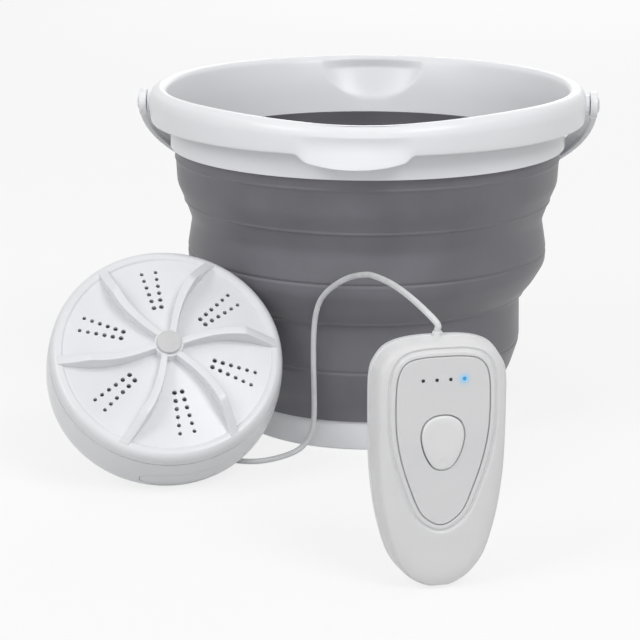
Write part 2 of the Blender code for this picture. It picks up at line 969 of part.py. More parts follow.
def mirrored_outline(shares):
    """A closed outline of (x, y) points from a table for its right side."""
    right = [
        (share * handset_width / 2, height * handset_height) for height, share in shares
    ]
    left = [(-x, y) for x, y in reversed(right) if x > 0]
    return right + left


def between_points(before, here, after, beyond, t):
    """The point a share t of the way along a smooth curve, from here to after."""
    return (
        2 * here
        + (after - before) * t
        + (2 * before - 5 * here + 4 * after - beyond) * t**2
        + (3 * here - before - 3 * after + beyond) * t**3
    ) / 2


def rounded(outline):
    """The outline with a point added midway on a smooth curve between each two of its own."""
    count = len(outline)
    result = []
    for number in range(count):
        a, b, c, d = (Vector(outline[(number + k) % count]) for k in (-1, 0, 1, 2))
        result.append(tuple(b))
        result.append(tuple(between_points(a, b, c, d, 0.5)))
    lowest = min(y for _, y in outline)
    return [(x, max(y, lowest)) for x, y in result]


def inset(outline, distance):
    """The outline moved inwards by a distance, or outwards by a negative one."""
    count = len(outline)
    result = []
    for number in range(count):
        before, here, after = (Vector(outline[(number + k) % count]) for k in (-1, 0, 1))
        along = (after - before).normalized()
        result.append((here.x - along.y * distance, here.y + along.x * distance))
    return result


def layered(outline, depth_insets):
    """A bmesh of an outline set in by its own distance at each of several depths."""
    return lofted(
        [
            [(x, y, depth) for x, y in inset(outline, distance)]
            for depth, distance in depth_insets
        ]
    )


def body_outline():
    return rounded(mirrored_outline(handset_shares))


def panel_outline(margin):
    return inset(rounded(mirrored_outline(panel_shares)), -margin)


def button_outline(margin):
    return inset(rounded(mirrored_outline(button_shares)), -margin)


def lens_spots():
    height = 0.851 * handset_height
    pitch = 0.1015 * handset_width
    return [Vector(((k - 1.5) * pitch, height, 0)) for k in range(4)]


def screw_spots():
    """Where the handset's four screws stand, clear of the shell's wall by a share of a boss."""
    spots = []
    for height_share in (0.44, 0.84):
        half = between(handset_shares, height_share) * handset_width / 2
        across = half - shell_wall - 1.4 * boss_radius
        for side in (-1, 1):
            spots.append(Vector((side * across, height_share * handset_height, 0)))
    return spots


def discs_at(spots, radius, low, high):
    """A cutter of one disc at each of several spots."""
    return joined([moved(disc(radius, low, high, screw_steps), spot) for spot in spots])


def roof_height():
    return front_depth - shell_wall - panel_thickness - gap


def make_front_shell(parent):
    """Pale front shell: a pillow-edged cup with a pocket for the panel and its openings."""
    depth, fillet = front_depth, front_depth / 3
    outer = [
        (gap / 2, 0.1 * fillet),
        (0.5 * depth, 0.15 * fillet),
        (0.75 * depth, 0.3 * fillet),
        (0.9 * depth, 0.67 * fillet),
        (0.98 * depth, 1.2 * fillet),
        (depth, 2 * fillet),
    ]
    shell = mesh_object("front_shell", layered(body_outline(), outer), pale_plastic(), parent)
    roof = roof_height()
    inner = [(-overrun, shell_wall), (0.5 * depth, 1.3 * shell_wall)]
    inner += [(0.75 * roof, 2.2 * shell_wall), (roof, 3.9 * shell_wall)]
    cut = helper("front_hollow", layered(body_outline(), inner), parent)
    boolean(shell, cut, "DIFFERENCE")
    for spot in screw_spots():
        post = moved(disc(boss_radius, gap / 2, 0.8 * roof, screw_steps), spot)
        boolean(shell, helper("screw_post", post, parent), "UNION")
    bores = discs_at(screw_spots(), screw_radius, -overrun, 0.5 * roof)
    boolean(shell, helper("screw_bores", bores, parent), "DIFFERENCE")
    low, high = depth - panel_thickness - gap, depth + overrun
    pocket = prism(panel_outline(gap), low, high)
    boolean(shell, helper("panel_pocket", pocket, parent), "DIFFERENCE")
    opening = prism(button_outline(gap), 0.4 * depth, high)
    boolean(shell, helper("button_opening", opening, parent), "DIFFERENCE")
    wells = discs_at(lens_spots(), lens_radius + gap, 0.5 * depth, high)
    boolean(shell, helper("lens_wells", wells, parent), "DIFFERENCE")
    cut_handset_mouths(shell, parent)


def cut_handset_mouths(shell, parent):
    """The round mouth for the cord's gland at the top and the slot for the socket below."""
    mouth = disc(gland_radius + gap, -2 * shell_wall, 2 * shell_wall, small_steps)
    mouth = moved(mouth, (0, handset_height, 0), lying_along_y())
    boolean(shell, helper("top_mouth", mouth, parent), "DIFFERENCE")
    slot = slot_outline(port_width + 2 * gap, port_thickness + 2 * gap)
    slot = moved(prism(slot, -overrun, 3 * shell_wall), (0, 0, 0), lying_along_y())
    boolean(shell, helper("port_slot", slot, parent), "DIFFERENCE")


def slot_outline(width, thickness):
    """A slot with round ends, as an outline of (x, y) points."""
    radius, straight = thickness / 2, width / 2 - thickness / 2
    points = []
    steps = 4
    for side in (1, -1):
        for step in range(steps + 1):
            angle = math.pi * (step / steps - side / 2)
            points.append((side * straight + radius * math.cos(angle), radius * math.sin(angle)))
    return points


def make_back_shell(parent):
    """White back shell: a shallow cup with round edges and sunk screw seats."""
    depth, fillet = back_depth, back_depth / 2
    outer = [
        (-depth, 1.1 * fillet),
        (-0.93 * depth, 0.55 * fillet),
        (-0.75 * depth, 0.18 * fillet),
        (-0.5 * depth, 0),
        (-gap / 2, 0),
    ]
    shell = mesh_object("back_shell", layered(body_outline(), outer), white_plastic(), parent)
    inner = [(shell_wall - depth, 1.1 * fillet), (-0.6 * depth, shell_wall)]
    inner.append((overrun, shell_wall))
    cut = helper("back_hollow", layered(body_outline(), inner), parent)
    boolean(shell, cut, "DIFFERENCE")
    for spot in screw_spots():
        post = moved(disc(boss_radius, -0.9 * depth, -gap / 2, screw_steps), spot)
        boolean(shell, helper("seat_post", post, parent), "UNION")
    low, step = -depth - overrun, head_sink - depth
    seat = [(0, low), (head_radius, low), (head_radius, step)]
    seat += [(screw_clearance, step), (screw_clearance, overrun), (0, overrun)]
    seats = joined([moved(turned(seat, screw_steps), spot) for spot in screw_spots()])
    boolean(shell, helper("seat_bores", seats, parent), "DIFFERENCE")
    cut_handset_mouths(shell, parent)


def make_handset_screws(parent):
    low = head_sink / 4 - back_depth
    head = head_sink - back_depth - gap
    end = 0.3 * front_depth
    thread = 0.8 * screw_radius
    outline = [
        (0, low),
        (head_radius - gap, low),
        (head_radius - gap, head),
        (thread, head),
        (thread, end),
        (0, end),
    ]
    for number, spot in enumerate(screw_spots()):
        screw = moved(turned(outline, screw_steps), spot)
        mesh_object("handset_screw_%d" % (number + 1), screw, steel(), parent)


def make_face_panel(parent):
    """The thin pale panel let into the front shell, with openings for button and lenses."""
    low = front_depth - panel_thickness
    panel = prism(panel_outline(-gap / 2), low, front_depth)
    panel = mesh_object("face_panel", panel, pale_plastic(), parent)
    cut = prism(button_outline(gap), low - overrun, front_depth + overrun)
    boolean(panel, helper("panel_opening", cut, parent), "DIFFERENCE")
    wells = discs_at(lens_spots(), lens_radius + gap, low - overrun, front_depth + overrun)
    boolean(panel, helper("panel_wells", wells, parent), "DIFFERENCE")


def make_power_button(parent):
    """The egg-shaped button with a crowned top."""
    top = front_depth + button_rise
    layers = [
        (0.5 * front_depth, 0),
        (front_depth, 0),
        (top - 0.2 * button_round, 0.3 * button_round),
        (top, button_round),
    ]
    button = layered(button_outline(-gap / 2), layers)
    mesh_object("power_button", button, white_plastic(), parent)


def make_lenses(parent):
    low = board_level + 2 * gap
    high = front_depth + gap / 2
    for number, spot in enumerate(lens_spots()):
        lens = moved(disc(lens_radius, low, high, screw_steps), spot)
        mesh_object("lens_%d" % (number + 1), lens, lens_plastic(), parent)


def chamfered_outline(half_width, low, high, corner):
    """A rectangle with its corners cut, as an outline of (x, y) points."""
    return [
        (half_width, low + corner),
        (half_width, high - corner),
        (half_width - corner, high),
        (-half_width + corner, high),
        (-half_width, high - corner),
        (-half_width, low + corner),
        (-half_width + corner, low),
        (half_width - corner, low),
    ]


def make_circuit_board(parent):
    low, high = 0.33 * handset_height, 0.9 * handset_height
    outline = chamfered_outline(0.27 * handset_width, low, high, 0.05 * handset_width)
    board = prism(outline, board_level - board_thickness, board_level)
    mesh_object("circuit_board", board, board_laminate(), parent)


def make_battery(parent):
    """The flat cell behind the board."""
    low, high = 0.35 * handset_height, 0.8 * handset_height
    outline = chamfered_outline(0.25 * handset_width, low, high, 0.03 * handset_width)
    back = shell_wall + gap - back_depth
    cell = prism(outline, back, board_level - board_thickness - gap)
    mesh_object("battery", cell, cell_wrap(), parent)


def make_switch(parent):
    """The small push switch on the board, under the button."""
    reach = 0.5 * front_depth - gap - switch_travel
    outline = chamfered_outline(switch_half, -switch_half, switch_half, switch_half / 6)
    switch = prism(outline, board_level + gap, reach)
    spot = (0, 0.6 * handset_height, 0)
    mesh_object("tact_switch", moved(switch, spot), black_rubber(), parent)


def make_charge_socket(parent):
    port = prism(slot_outline(port_width, port_thickness), shell_wall / 2, port_length)
    port = moved(port, (0, 0, 0), lying_along_y())
    port = mesh_object("charge_socket", port, steel(), parent)
    hollow = slot_outline(port_width - 2 * gap, port_thickness - 2 * gap)
    hollow = moved(prism(hollow, 0, 0.8 * port_length), (0, 0, 0), lying_along_y())
    boolean(port, helper("socket_hollow", hollow, parent), "DIFFERENCE")


def handset_top():
    return handset_height * handset_shares[-1][0]


def make_handset_gland(parent):
    sleeve = turned(gland_outline(top_gland_length, shell_wall), small_steps)
    sleeve = moved(sleeve, (0, handset_top(), 0), lying_along_y())
    mesh_object("handset_gland", sleeve, cord_sheath(), parent)


# Cord route between the two glands, from the handset over to the wall, down and back
cord_route = [
    (0.0225, -0.2790, 0.1382),
    (0.0149, -0.2610, 0.1412),
    (0.0074, -0.2310, 0.1398),
    (-0.0002, -0.1960, 0.1350),
    (-0.0049, -0.1750, 0.1306),
    (-0.0128, -0.1450, 0.1215),
    (-0.0211, -0.1235, 0.1113),
    (-0.0276, -0.1110, 0.1015),
    (-0.0310, -0.1048, 0.0915),
    (-0.0325, -0.1022, 0.0790),
    (-0.0328, -0.1000, 0.0607),
    (-0.0325, -0.0962, 0.0412),
    (-0.0325, -0.0930, 0.0245),
    (-0.0343, -0.0918, 0.0130),
    (-0.0391, -0.0925, 0.0055),
    (-0.0456, -0.0955, 0.0021),
    (-0.0554, -0.1050, 0.0020),
    (-0.0655, -0.1100, 0.0020),
    (-0.0755, -0.1095, 0.0020),
    (-0.0850, -0.1045, 0.0020),
    (-0.0940, -0.0985, 0.0020),
    (-0.1040, -0.0935, 0.0022),
    (-0.1140, -0.0925, 0.0040),
    (-0.1220, -0.0955, 0.0080),
    (-0.1262, -0.1010, 0.0130),
]


def gland_ends(handset, turbine):
    """The points and directions where the cord leaves the two glands, in world space."""
    bpy.context.view_layer.update()
    top = handset_top() + top_gland_length + gap
    start = handset.matrix_world @ Vector((0, top, 0))
    start_way = handset.matrix_world.to_3x3() @ Vector((0, 1, 0))
    back = gland_spot() + Vector((0, 0, -turbine_depth - gland_length - gap))
    end = turbine.matrix_world @ back
    end_way = turbine.matrix_world.to_3x3() @ Vector((0, 0, -1))
    return start, start_way, end, end_way


def smooth_route(points):
    """The route with a point added midway on a smooth curve between each two of its own.
    Its first and last spans stay straight."""
    result = [points[0]]
    for before, here, after, beyond in zip(points, points[1:], points[2:], points[3:]):
        result.append(here)
        result.append(between_points(before, here, after, beyond, 0.5))
    return result + points[-2:]


def make_cord(handset, turbine):
    """The thin lead from the handset's top to the turbine's back."""
    start, start_way, end, end_way = gland_ends(handset, turbine)
    points = [start, start + start_way * cord_lead]
    points += [Vector(point) for point in cord_route]
    points += [end + end_way * cord_lead, end]
    route = smooth_route(points)
    curve = bpy.data.curves.new("cord", "CURVE")
    curve.dimensions = "3D"
    curve.bevel_depth = cord_radius
    curve.bevel_resolution = 2
    curve.use_fill_caps = True
    spline = curve.splines.new("POLY")
    spline.points.add(len(route) - 1)
    for place, point in zip(spline.points, route):
        place.co = (*point, 1)
    curve.materials.append(cord_sheath())
    obj = bpy.data.objects.new("cord", curve)
    bpy.context.scene.collection.objects.link(obj)


def make_bucket():
    turn = empty("bucket_axis", (0, 0, 0), (0, 0, bucket_turn))
    make_foot()
    make_floor()
    make_walls()
    make_rim(turn)
    make_bail(turn)
    make_pivot_pins(turn)


def make_turbine():
    pose = empty("turbine_axis", turbine_centre(), turbine_turn().to_euler())
    motor_axis = empty("motor_axis", (gear_distance(), 0, 0))
    motor_axis.parent = pose
    make_housing(pose)
    make_side_cover(pose)
    make_deck(pose)
    make_deck_screws(pose)
    make_gear_plate(pose)
    make_motor(pose)
    make_gears(pose, motor_axis)
    make_shafts(pose, motor_axis)
    make_impeller(pose)
    make_hub_cap(pose)
    make_turbine_gland(pose)
    make_feet(pose)
    return pose


def make_handset():
    turn = (math.radians(90), 0, handset_yaw)
    pose = empty("handset_axis", (*handset_place, 0), turn)
    make_back_shell(pose)
    make_front_shell(pose)
    make_face_panel(pose)
    make_power_button(pose)
    make_lenses(pose)
    make_circuit_board(pose)
    make_battery(pose)
    make_switch(pose)
    make_charge_socket(pose)
    make_handset_screws(pose)
    make_handset_gland(pose)
    return pose


clear_scene()
make_bucket()
turbine = make_turbine()
handset = make_handset()
make_cord(handset, turbine)
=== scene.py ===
import json
import math

import bmesh
import bpy
import numpy as np
from mathutils import Matrix, Vector


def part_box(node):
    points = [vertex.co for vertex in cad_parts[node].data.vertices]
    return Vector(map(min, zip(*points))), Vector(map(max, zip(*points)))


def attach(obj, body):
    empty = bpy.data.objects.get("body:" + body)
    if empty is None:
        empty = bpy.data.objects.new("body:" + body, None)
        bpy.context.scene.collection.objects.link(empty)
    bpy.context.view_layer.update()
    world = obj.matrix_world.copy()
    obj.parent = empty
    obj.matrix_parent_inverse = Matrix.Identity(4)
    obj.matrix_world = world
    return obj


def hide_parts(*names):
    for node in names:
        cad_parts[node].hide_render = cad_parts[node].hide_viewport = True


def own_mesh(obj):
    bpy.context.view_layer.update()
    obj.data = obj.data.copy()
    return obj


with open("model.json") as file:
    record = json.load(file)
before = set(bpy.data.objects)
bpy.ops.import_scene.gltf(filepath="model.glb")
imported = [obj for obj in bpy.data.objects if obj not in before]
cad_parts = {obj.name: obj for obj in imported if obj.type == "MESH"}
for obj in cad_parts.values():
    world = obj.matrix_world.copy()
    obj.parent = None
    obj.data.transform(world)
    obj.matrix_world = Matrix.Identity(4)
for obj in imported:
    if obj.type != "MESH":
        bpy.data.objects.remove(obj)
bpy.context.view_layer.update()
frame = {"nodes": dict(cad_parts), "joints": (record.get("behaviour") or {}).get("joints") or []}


# Camera
# It looks from the front and slightly left of the bucket's middle, about fifteen degrees
# down, through a long lens, as the photograph was taken.
camera_place = (-0.029, -1.23, 0.394)
camera_drop = math.radians(15.3)
sensor_width = 36
focal_length = 113.9

camera_data = bpy.data.cameras.new("camera")
camera_data.sensor_width = sensor_width
camera_data.lens = focal_length
camera = bpy.data.objects.new("camera", camera_data)
camera.location = camera_place
camera.rotation_euler = (math.radians(90) - camera_drop, 0, 0)
bpy.context.scene.collection.objects.link(camera)
bpy.context.scene.camera = camera


# Cord
# A thin low-voltage lead in a soft extruded PVC sheath. It rises out of the handset, bends
# over on to the bucket's wall, drops to the floor and runs up into the turbine's back.
def linear(hex_colour):
    """An sRGB hex colour as the linear colour that a shader reads."""
    full, toe, toe_slope, offset, power = 255, 0.04045, 12.92, 0.055, 2.4
    colour = []
    for start in (1, 3, 5):
        share = int(hex_colour[start : start + 2], 16) / full
        if share <= toe:
            colour.append(share / toe_slope)
        else:
            colour.append(((share + offset) / (1 + offset)) ** power)
    return (*colour, 1)


def add_node(tree, kind, settings=None, links=None):
    """A new node with its settings, by property or input, and the sockets that feed it."""
    node = tree.nodes.new(kind)
    for name, value in (settings or {}).items():
        if isinstance(name, int) or name in node.inputs:
            node.inputs[name].default_value = value
        else:
            setattr(node, name, value)
    for name, socket in (links or {}).items():
        tree.links.new(node.inputs[name], socket)
    return node


def new_look(name, ior=1.5):
    """An empty material, as its node tree, its shader and its place on the object."""
    look = bpy.data.materials.new(name)
    look.use_nodes = True
    tree = look.node_tree
    shader = tree.nodes["Principled BSDF"]
    shader.inputs["IOR"].default_value = ior
    place = add_node(tree, "ShaderNodeTexCoord").outputs["Object"]
    return look, tree, shader, place


def drifting_colour(tree, shader, place, colours, patch_size):
    """Colour that drifts between two tones in soft patches. Returns the patches."""
    noise = {"Scale": 1 / patch_size, "Detail": 3}
    patches = add_node(tree, "ShaderNodeTexNoise", noise, {"Vector": place})
    middle = {"From Min": 0.35, "From Max": 0.65}
    spread = add_node(tree, "ShaderNodeMapRange", middle, {"Value": patches.outputs["Fac"]})
    tones = {"data_type": "RGBA", 6: linear(colours[0]), 7: linear(colours[1])}
    drift = add_node(tree, "ShaderNodeMix", tones, {0: spread.outputs["Result"]})
    tree.links.new(shader.inputs["Base Color"], drift.outputs[2])
    return spread.outputs["Result"]


def drifting_gloss(tree, shader, patches, low, high):
    """Roughness that drifts with the same patches."""
    span = {"To Min": low, "To Max": high}
    gloss = add_node(tree, "ShaderNodeMapRange", span, {"Value": patches})
    tree.links.new(shader.inputs["Roughness"], gloss.outputs["Result"])


def fine_grain(tree, shader, place, grain_size, grain_depth, strength=0.3):
    """A fine uneven grain as a bump."""
    noise = {"Scale": 1 / grain_size, "Detail": 4}
    grain = add_node(tree, "ShaderNodeTexNoise", noise, {"Vector": place})
    relief = {"Strength": strength, "Distance": grain_depth}
    bump = add_node(tree, "ShaderNodeBump", relief, {"Height": grain.outputs["Fac"]})
    tree.links.new(shader.inputs["Normal"], bump.outputs["Normal"])


def mottled_look(name, tones, patch_size, gloss, grain_size, grain_ratio, ior=1.5, strength=0.3):
    """A look whose colour and gloss drift in patches, over a fine grain that is so many times
    wider than deep. Returns it with its node tree, its shader and its place on the object."""
    look, tree, shader, place = new_look(name, ior)
    patches = drifting_colour(tree, shader, place, tones, patch_size)
    drifting_gloss(tree, shader, patches, *gloss)
    fine_grain(tree, shader, place, grain_size, grain_size / grain_ratio, strength)
    return look, tree, shader, place


def soft_pvc_sheath():
    """Soft extruded PVC: satin, with a faint mark every few millimetres from the extruder."""
    return mottled_look(
        "soft_pvc_sheath", ("#d9dadc", "#e2e3e5"), patch_size=0.012, gloss=(0.4, 0.52),
        grain_size=0.0012, grain_ratio=20, ior=1.53,
    )[0]


def curve_through(points, steps):
    """Points along a smooth curve that passes through the given ones."""
    points = [Vector(point) for point in points]
    ends = [2 * points[0] - points[1]] + points + [2 * points[-1] - points[-2]]
    result = []
    for before, here, after, beyond in zip(ends, ends[1:], ends[2:], ends[3:]):
        for step in range(steps):
            t = step / steps
            place = 2 * here + (after - before) * t
            place += (2 * before - 5 * here + 4 * after - beyond) * t**2
            place += (3 * here - before - 3 * after + beyond) * t**3
            result.append(place / 2)
    return result + [points[-1]]


cord_radius = 0.0016
# The cord's middle, from the handset's top to the turbine's back.
cord_route = [
    (0.0279, -0.2840, 0.13022),
    (0.0279, -0.2840, 0.13322),
    (0.0225, -0.2790, 0.1382),
    (0.0149, -0.2610, 0.1412),
    (0.0074, -0.2310, 0.1398),
    (-0.0002, -0.1960, 0.1350),
    (-0.0049, -0.1750, 0.1306),
    (-0.0128, -0.1450, 0.1215),
    (-0.0211, -0.1235, 0.1113),
    (-0.0276, -0.1110, 0.1015),
    (-0.0310, -0.1048, 0.0915),
    (-0.0325, -0.1022, 0.0790),
    (-0.0328, -0.1000, 0.0607),
    (-0.0325, -0.0962, 0.0412),
    (-0.0325, -0.0930, 0.0245),
    (-0.0343, -0.0918, 0.0130),
    (-0.0391, -0.0925, 0.0055),
    (-0.0456, -0.0955, 0.0021),
    (-0.0554, -0.1050, 0.0020),
    (-0.0655, -0.1100, 0.0020),
    (-0.0755, -0.1095, 0.0020),
    (-0.0850, -0.1045, 0.0020),
    (-0.0940, -0.0985, 0.0020),
    (-0.1040, -0.0935, 0.0022),
    (-0.1140, -0.0925, 0.0040),
    (-0.1220, -0.0955, 0.0080),
    (-0.1262, -0.1010, 0.0130),
    (-0.12646, -0.10486, 0.01949),
    (-0.12603, -0.10705, 0.02149),
]
span_steps = 4

sheath = soft_pvc_sheath()
cord_line = bpy.data.curves.new("cord_run", "CURVE")
cord_line.dimensions = "3D"
cord_line.bevel_depth = cord_radius
cord_line.bevel_resolution = 6
cord_line.use_fill_caps = True
cord_points = curve_through(cord_route, span_steps)
spline = cord_line.splines.new("POLY")
spline.points.add(len(cord_points) - 1)
for place, point in zip(spline.points, cord_points):
    place.co = (*point, 1)
cord_line.materials.append(sheath)
cord_run = bpy.data.objects.new("cord_run", cord_line)
bpy.context.scene.collection.objects.link(cord_run)
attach(cord_run, "base")
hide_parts("cord")


# Floor and light
# A plain white sweep under soft studio lamps. The floor shows white to the camera and still
# takes the shadow of what stands on it.
def seen_directly(tree):
    """One where a ray comes from the camera, a reflection or a clear material."""
    rays = add_node(tree, "ShaderNodeLightPath").outputs
    seen = rays["Is Camera Ray"]
    for kind in ("Is Glossy Ray", "Is Transmission Ray"):
        either = {0: seen, 1: rays[kind]}
        seen = add_node(tree, "ShaderNodeMath", {"operation": "MAXIMUM"}, either).outputs[0]
    return seen


def studio_paper():
    """White background paper, matt, with the faint mottling of its pulp."""
    pulp_size = 0.02
    glow = 1
    shadow_share = 0.22
    matt = 0.9
    look, tree, shader, place = new_look("studio_paper")
    drifting_colour(tree, shader, place, ("#cecece", "#d4d4d4"), pulp_size)
    shader.inputs["Roughness"].default_value = matt
    shader.inputs["Specular IOR Level"].default_value = 0
    white = add_node(tree, "ShaderNodeEmission", {"Strength": glow})
    seen = seen_directly(tree)
    lit_share = {"operation": "MULTIPLY", 1: 1 - shadow_share}
    share = add_node(tree, "ShaderNodeMath", lit_share, {0: seen})
    tones = shader.inputs["Base Color"].links[0].from_socket
    paler = {"data_type": "RGBA", 7: linear("#fafafa")}
    paper = add_node(tree, "ShaderNodeMix", paler, {0: seen, 6: tones})
    tree.links.new(shader.inputs["Base Color"], paper.outputs[2])
    both = {0: share.outputs[0], 1: shader.outputs[0], 2: white.outputs[0]}
    mixed = add_node(tree, "ShaderNodeMixShader", {}, both)
    tree.links.new(tree.nodes["Material Output"].inputs["Surface"], mixed.outputs[0])
    return look


def add_lamp(name, spot, target, size, power):
    """A square soft lamp that points at a target."""
    data = bpy.data.lights.new(name, "AREA")
    data.size = size
    data.energy = power
    lamp = bpy.data.objects.new(name, data)
    lamp.location = spot
    lamp.rotation_euler = (Vector(target) - Vector(spot)).to_track_quat("-Z", "Y").to_euler()
    bpy.context.scene.collection.objects.link(lamp)


floor_half = 10
floor_drop = 0.0001

floor_bm = bmesh.new()
bmesh.ops.create_grid(floor_bm, x_segments=4, y_segments=4, size=floor_half)
bmesh.ops.translate(floor_bm, verts=floor_bm.verts, vec=(0, 0, -floor_drop))
floor_mesh = bpy.data.meshes.new("floor")
floor_bm.to_mesh(floor_mesh)
floor_bm.free()
floor_mesh.materials.append(studio_paper())
floor = bpy.data.objects.new("floor", floor_mesh)
bpy.context.scene.collection.objects.link(floor)

# Each lamp's name, place, width in metres and power in watts.
lamps = [
    ("right_key", (1.1, -1.6, 2), 1, 21),
    ("left_fill", (-1.7, -1.5, 1.8), 1.2, 19),
    ("front_fill", (-0.2, -2.7, 0.8), 1.4, 8),
    ("back_fill", (0.3, 2.6, 1.2), 1.4, 12),
    ("top_light", (0, 0.2, 2.4), 1.2, 4),
]
lamp_target = (0, -0.1, 0.1)
for name, spot, size, power in lamps:
    add_lamp(name, spot, lamp_target, size, power)

world = bpy.data.worlds.new("studio")
bpy.context.scene.world = world
world.use_nodes = True
world_tree = world.node_tree
soft_level, white_level = 0.36, 1
paper_white = linear("#ffffff")
soft, white = (
    add_node(world_tree, "ShaderNodeBackground", {"Strength": strength, "Color": paper_white})
    for strength in (soft_level, white_level)
)
both = {0: seen_directly(world_tree), 1: soft.outputs[0], 2: white.outputs[0]}
sky = add_node(world_tree, "ShaderNodeMixShader", {}, both)
world_tree.links.new(world_tree.nodes["World Output"].inputs["Surface"], sky.outputs[0])
bpy.context.scene.view_settings.view_transform = "Standard"


# Bucket foot
# The stiff white base of the folding bucket, injection-moulded in polypropylene with a plain
# standing ring round it. The soft wall is moulded on to its top edge.
def moulded_polypropylene():
    """Injection-moulded polypropylene: white and waxy, with a soft uneven shine."""
    return mottled_look(
        "moulded_polypropylene", ("#f2f3f6", "#f4f5f8"), patch_size=0.04, gloss=(0.29, 0.33),
        grain_size=0.004, grain_ratio=200, ior=1.49,
    )[0]


merge_distance = 0.000001


def spun(outline, steps):
    """A closed solid: an outline of (radius, height) points spun round the Z axis."""
    bm = bmesh.new()
    points = [bm.verts.new((radius, 0, height)) for radius, height in outline]
    edges = [bm.edges.new(pair) for pair in zip(points, points[1:])]
    if outline[0][0] > 0:
        edges.append(bm.edges.new((points[-1], points[0])))
    bmesh.ops.spin(
        bm, geom=points + edges, axis=(0, 0, 1), angle=math.tau, steps=steps, use_merge=True
    )
    bmesh.ops.remove_doubles(bm, verts=bm.verts, dist=merge_distance)
    bmesh.ops.recalc_face_normals(bm, faces=bm.faces)
    return bm


def soften(bm, width, corner=math.radians(30), segments=3):
    """Round the edges that turn more sharply than a corner."""
    paired = [edge for edge in bm.edges if len(edge.link_faces) == 2]
    sharp = [edge for edge in paired if edge.calc_face_angle(0) > corner]
    bmesh.ops.bevel(
        bm,
        geom=sharp,
        offset=width,
        affect="EDGES",
        segments=segments,
        profile=0.5,
        material=-1,
        clamp_overlap=True,
    )
    return bm


def add_piece(name, bm, look, body, place=None):
    """A finished piece in the shared frame, smooth apart from its creases, on its body."""
    if place:
        bmesh.ops.transform(bm, matrix=place, verts=bm.verts)
    bmesh.ops.recalc_face_normals(bm, faces=bm.faces)
    mesh = bpy.data.meshes.new(name)
    bm.to_mesh(mesh)
    bm.free()
    mesh.materials.append(look)
    mesh.shade_smooth()
    mesh.set_sharp_from_angle(angle=crease)
    piece = bpy.data.objects.new(name, mesh)
    bpy.context.scene.collection.objects.link(piece)
    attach(piece, body)
    return piece


crease = math.radians(32)
bucket_height = 0.207
rim_radius = 0.133
fine_steps = 192
foot_radius = 0.6353 * rim_radius
foot_height = 0.018
foot_wall = 0.0028
foot_floor = 0.004
shut_gap = 0.0003

polypropylene = moulded_polypropylene()
foot_bead = foot_wall / 5
foot_outline = [
    (0, foot_bead),
    (foot_radius - 3 * foot_wall, foot_bead),
    (foot_radius - 2.6 * foot_wall, 0),
    (foot_radius - foot_wall / 3, 0),
    (foot_radius, foot_wall / 3),
    (foot_radius, foot_height - shut_gap),
    (foot_radius - foot_wall, foot_height - shut_gap),
    (foot_radius - foot_wall, foot_floor),
    (0, foot_floor),
]
foot_bm = soften(spun(foot_outline, fine_steps), foot_wall / 8)
foot = add_piece("bucket_foot", foot_bm, polypropylene, "base")
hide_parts("base_ring")


# Bucket floor
# A soft grey disc moulded into the foot, with the ring-shaped folds that let it stretch.
def thermoplastic_rubber():
    """Moulded thermoplastic rubber: dark grey and silky, paler in soft patches."""
    sheen = 0.12
    look, _, shader, _ = mottled_look(
        "thermoplastic_rubber", ("#69686e", "#727177"), patch_size=0.035, gloss=(0.42, 0.55),
        grain_size=0.0016, grain_ratio=12,
    )
    shader.inputs["Sheen Weight"].default_value = sheen
    return look


rubber = thermoplastic_rubber()
floor_reach = foot_radius - foot_wall - shut_gap
floor_low = foot_floor + shut_gap
floor_lip = floor_low + foot_floor / 2
ring_count = 4
ring_pitch = floor_reach / (ring_count + 2)
ring_rise = 0.0008
# A ring's section: shares of the pitch outwards, and the rise there.
ring_section = [(0.12, 0), (0.05, ring_rise), (-0.05, ring_rise), (-0.12, 0)]
floor_outline = [
    (0, floor_low),
    (floor_reach, floor_low),
    (floor_reach, foot_height - shut_gap),
    (floor_reach - foot_wall, foot_height - shut_gap),
    (floor_reach - foot_wall, floor_lip + ring_rise),
]
for number in range(ring_count, 0, -1):
    for share, rise in ring_section:
        floor_outline.append(((number + share) * ring_pitch, floor_lip + rise))
floor_outline.append((0, floor_lip))
mat_bm = soften(spun(floor_outline, fine_steps), ring_rise / 4, segments=2)
bucket_mat = add_piece("bucket_mat", mat_bm, rubber, "base")
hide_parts("bucket_floor")


# Folding wall
# Soft grey rubber between the foot and the rim. Thin hinge lines run round it where it folds,
# raised on the outward folds and sunk on the inward ones. Its upper part is a separate piece
# with a mesh of its own.
wall_thickness = 0.0028
collar_height = 0.036
collar_base = bucket_height - collar_height
step_share = 0.392
wall_height = collar_base - foot_height
step_height = foot_height + step_share * wall_height
# The wall's outline: shares of its height, and of the rim's radius there.
wall_shares = [
    (0.0, 0.645), (0.05, 0.653), (0.11, 0.685), (0.21, 0.721), (step_share, 0.7165),
    (0.464, 0.783), (0.536, 0.831), (0.588, 0.8345), (0.706, 0.812), (0.784, 0.843),
    (0.856, 0.878), (0.967, 0.8845), (1.0, 0.8835),
]
hinge_width = 0.0009
# Each hinge line's height share, and its rise as a share of the wall.
hinge_shares = [(0.215, -0.22), (0.41, 0.24), (0.585, -0.3), (0.784, 0.24), (0.955, 0.2)]
# Rows of the mesh beside each hinge line, in hinge widths.
hinge_rows = [0.25, 0.55, 0.85, 1.2, 1.6, 2.2]


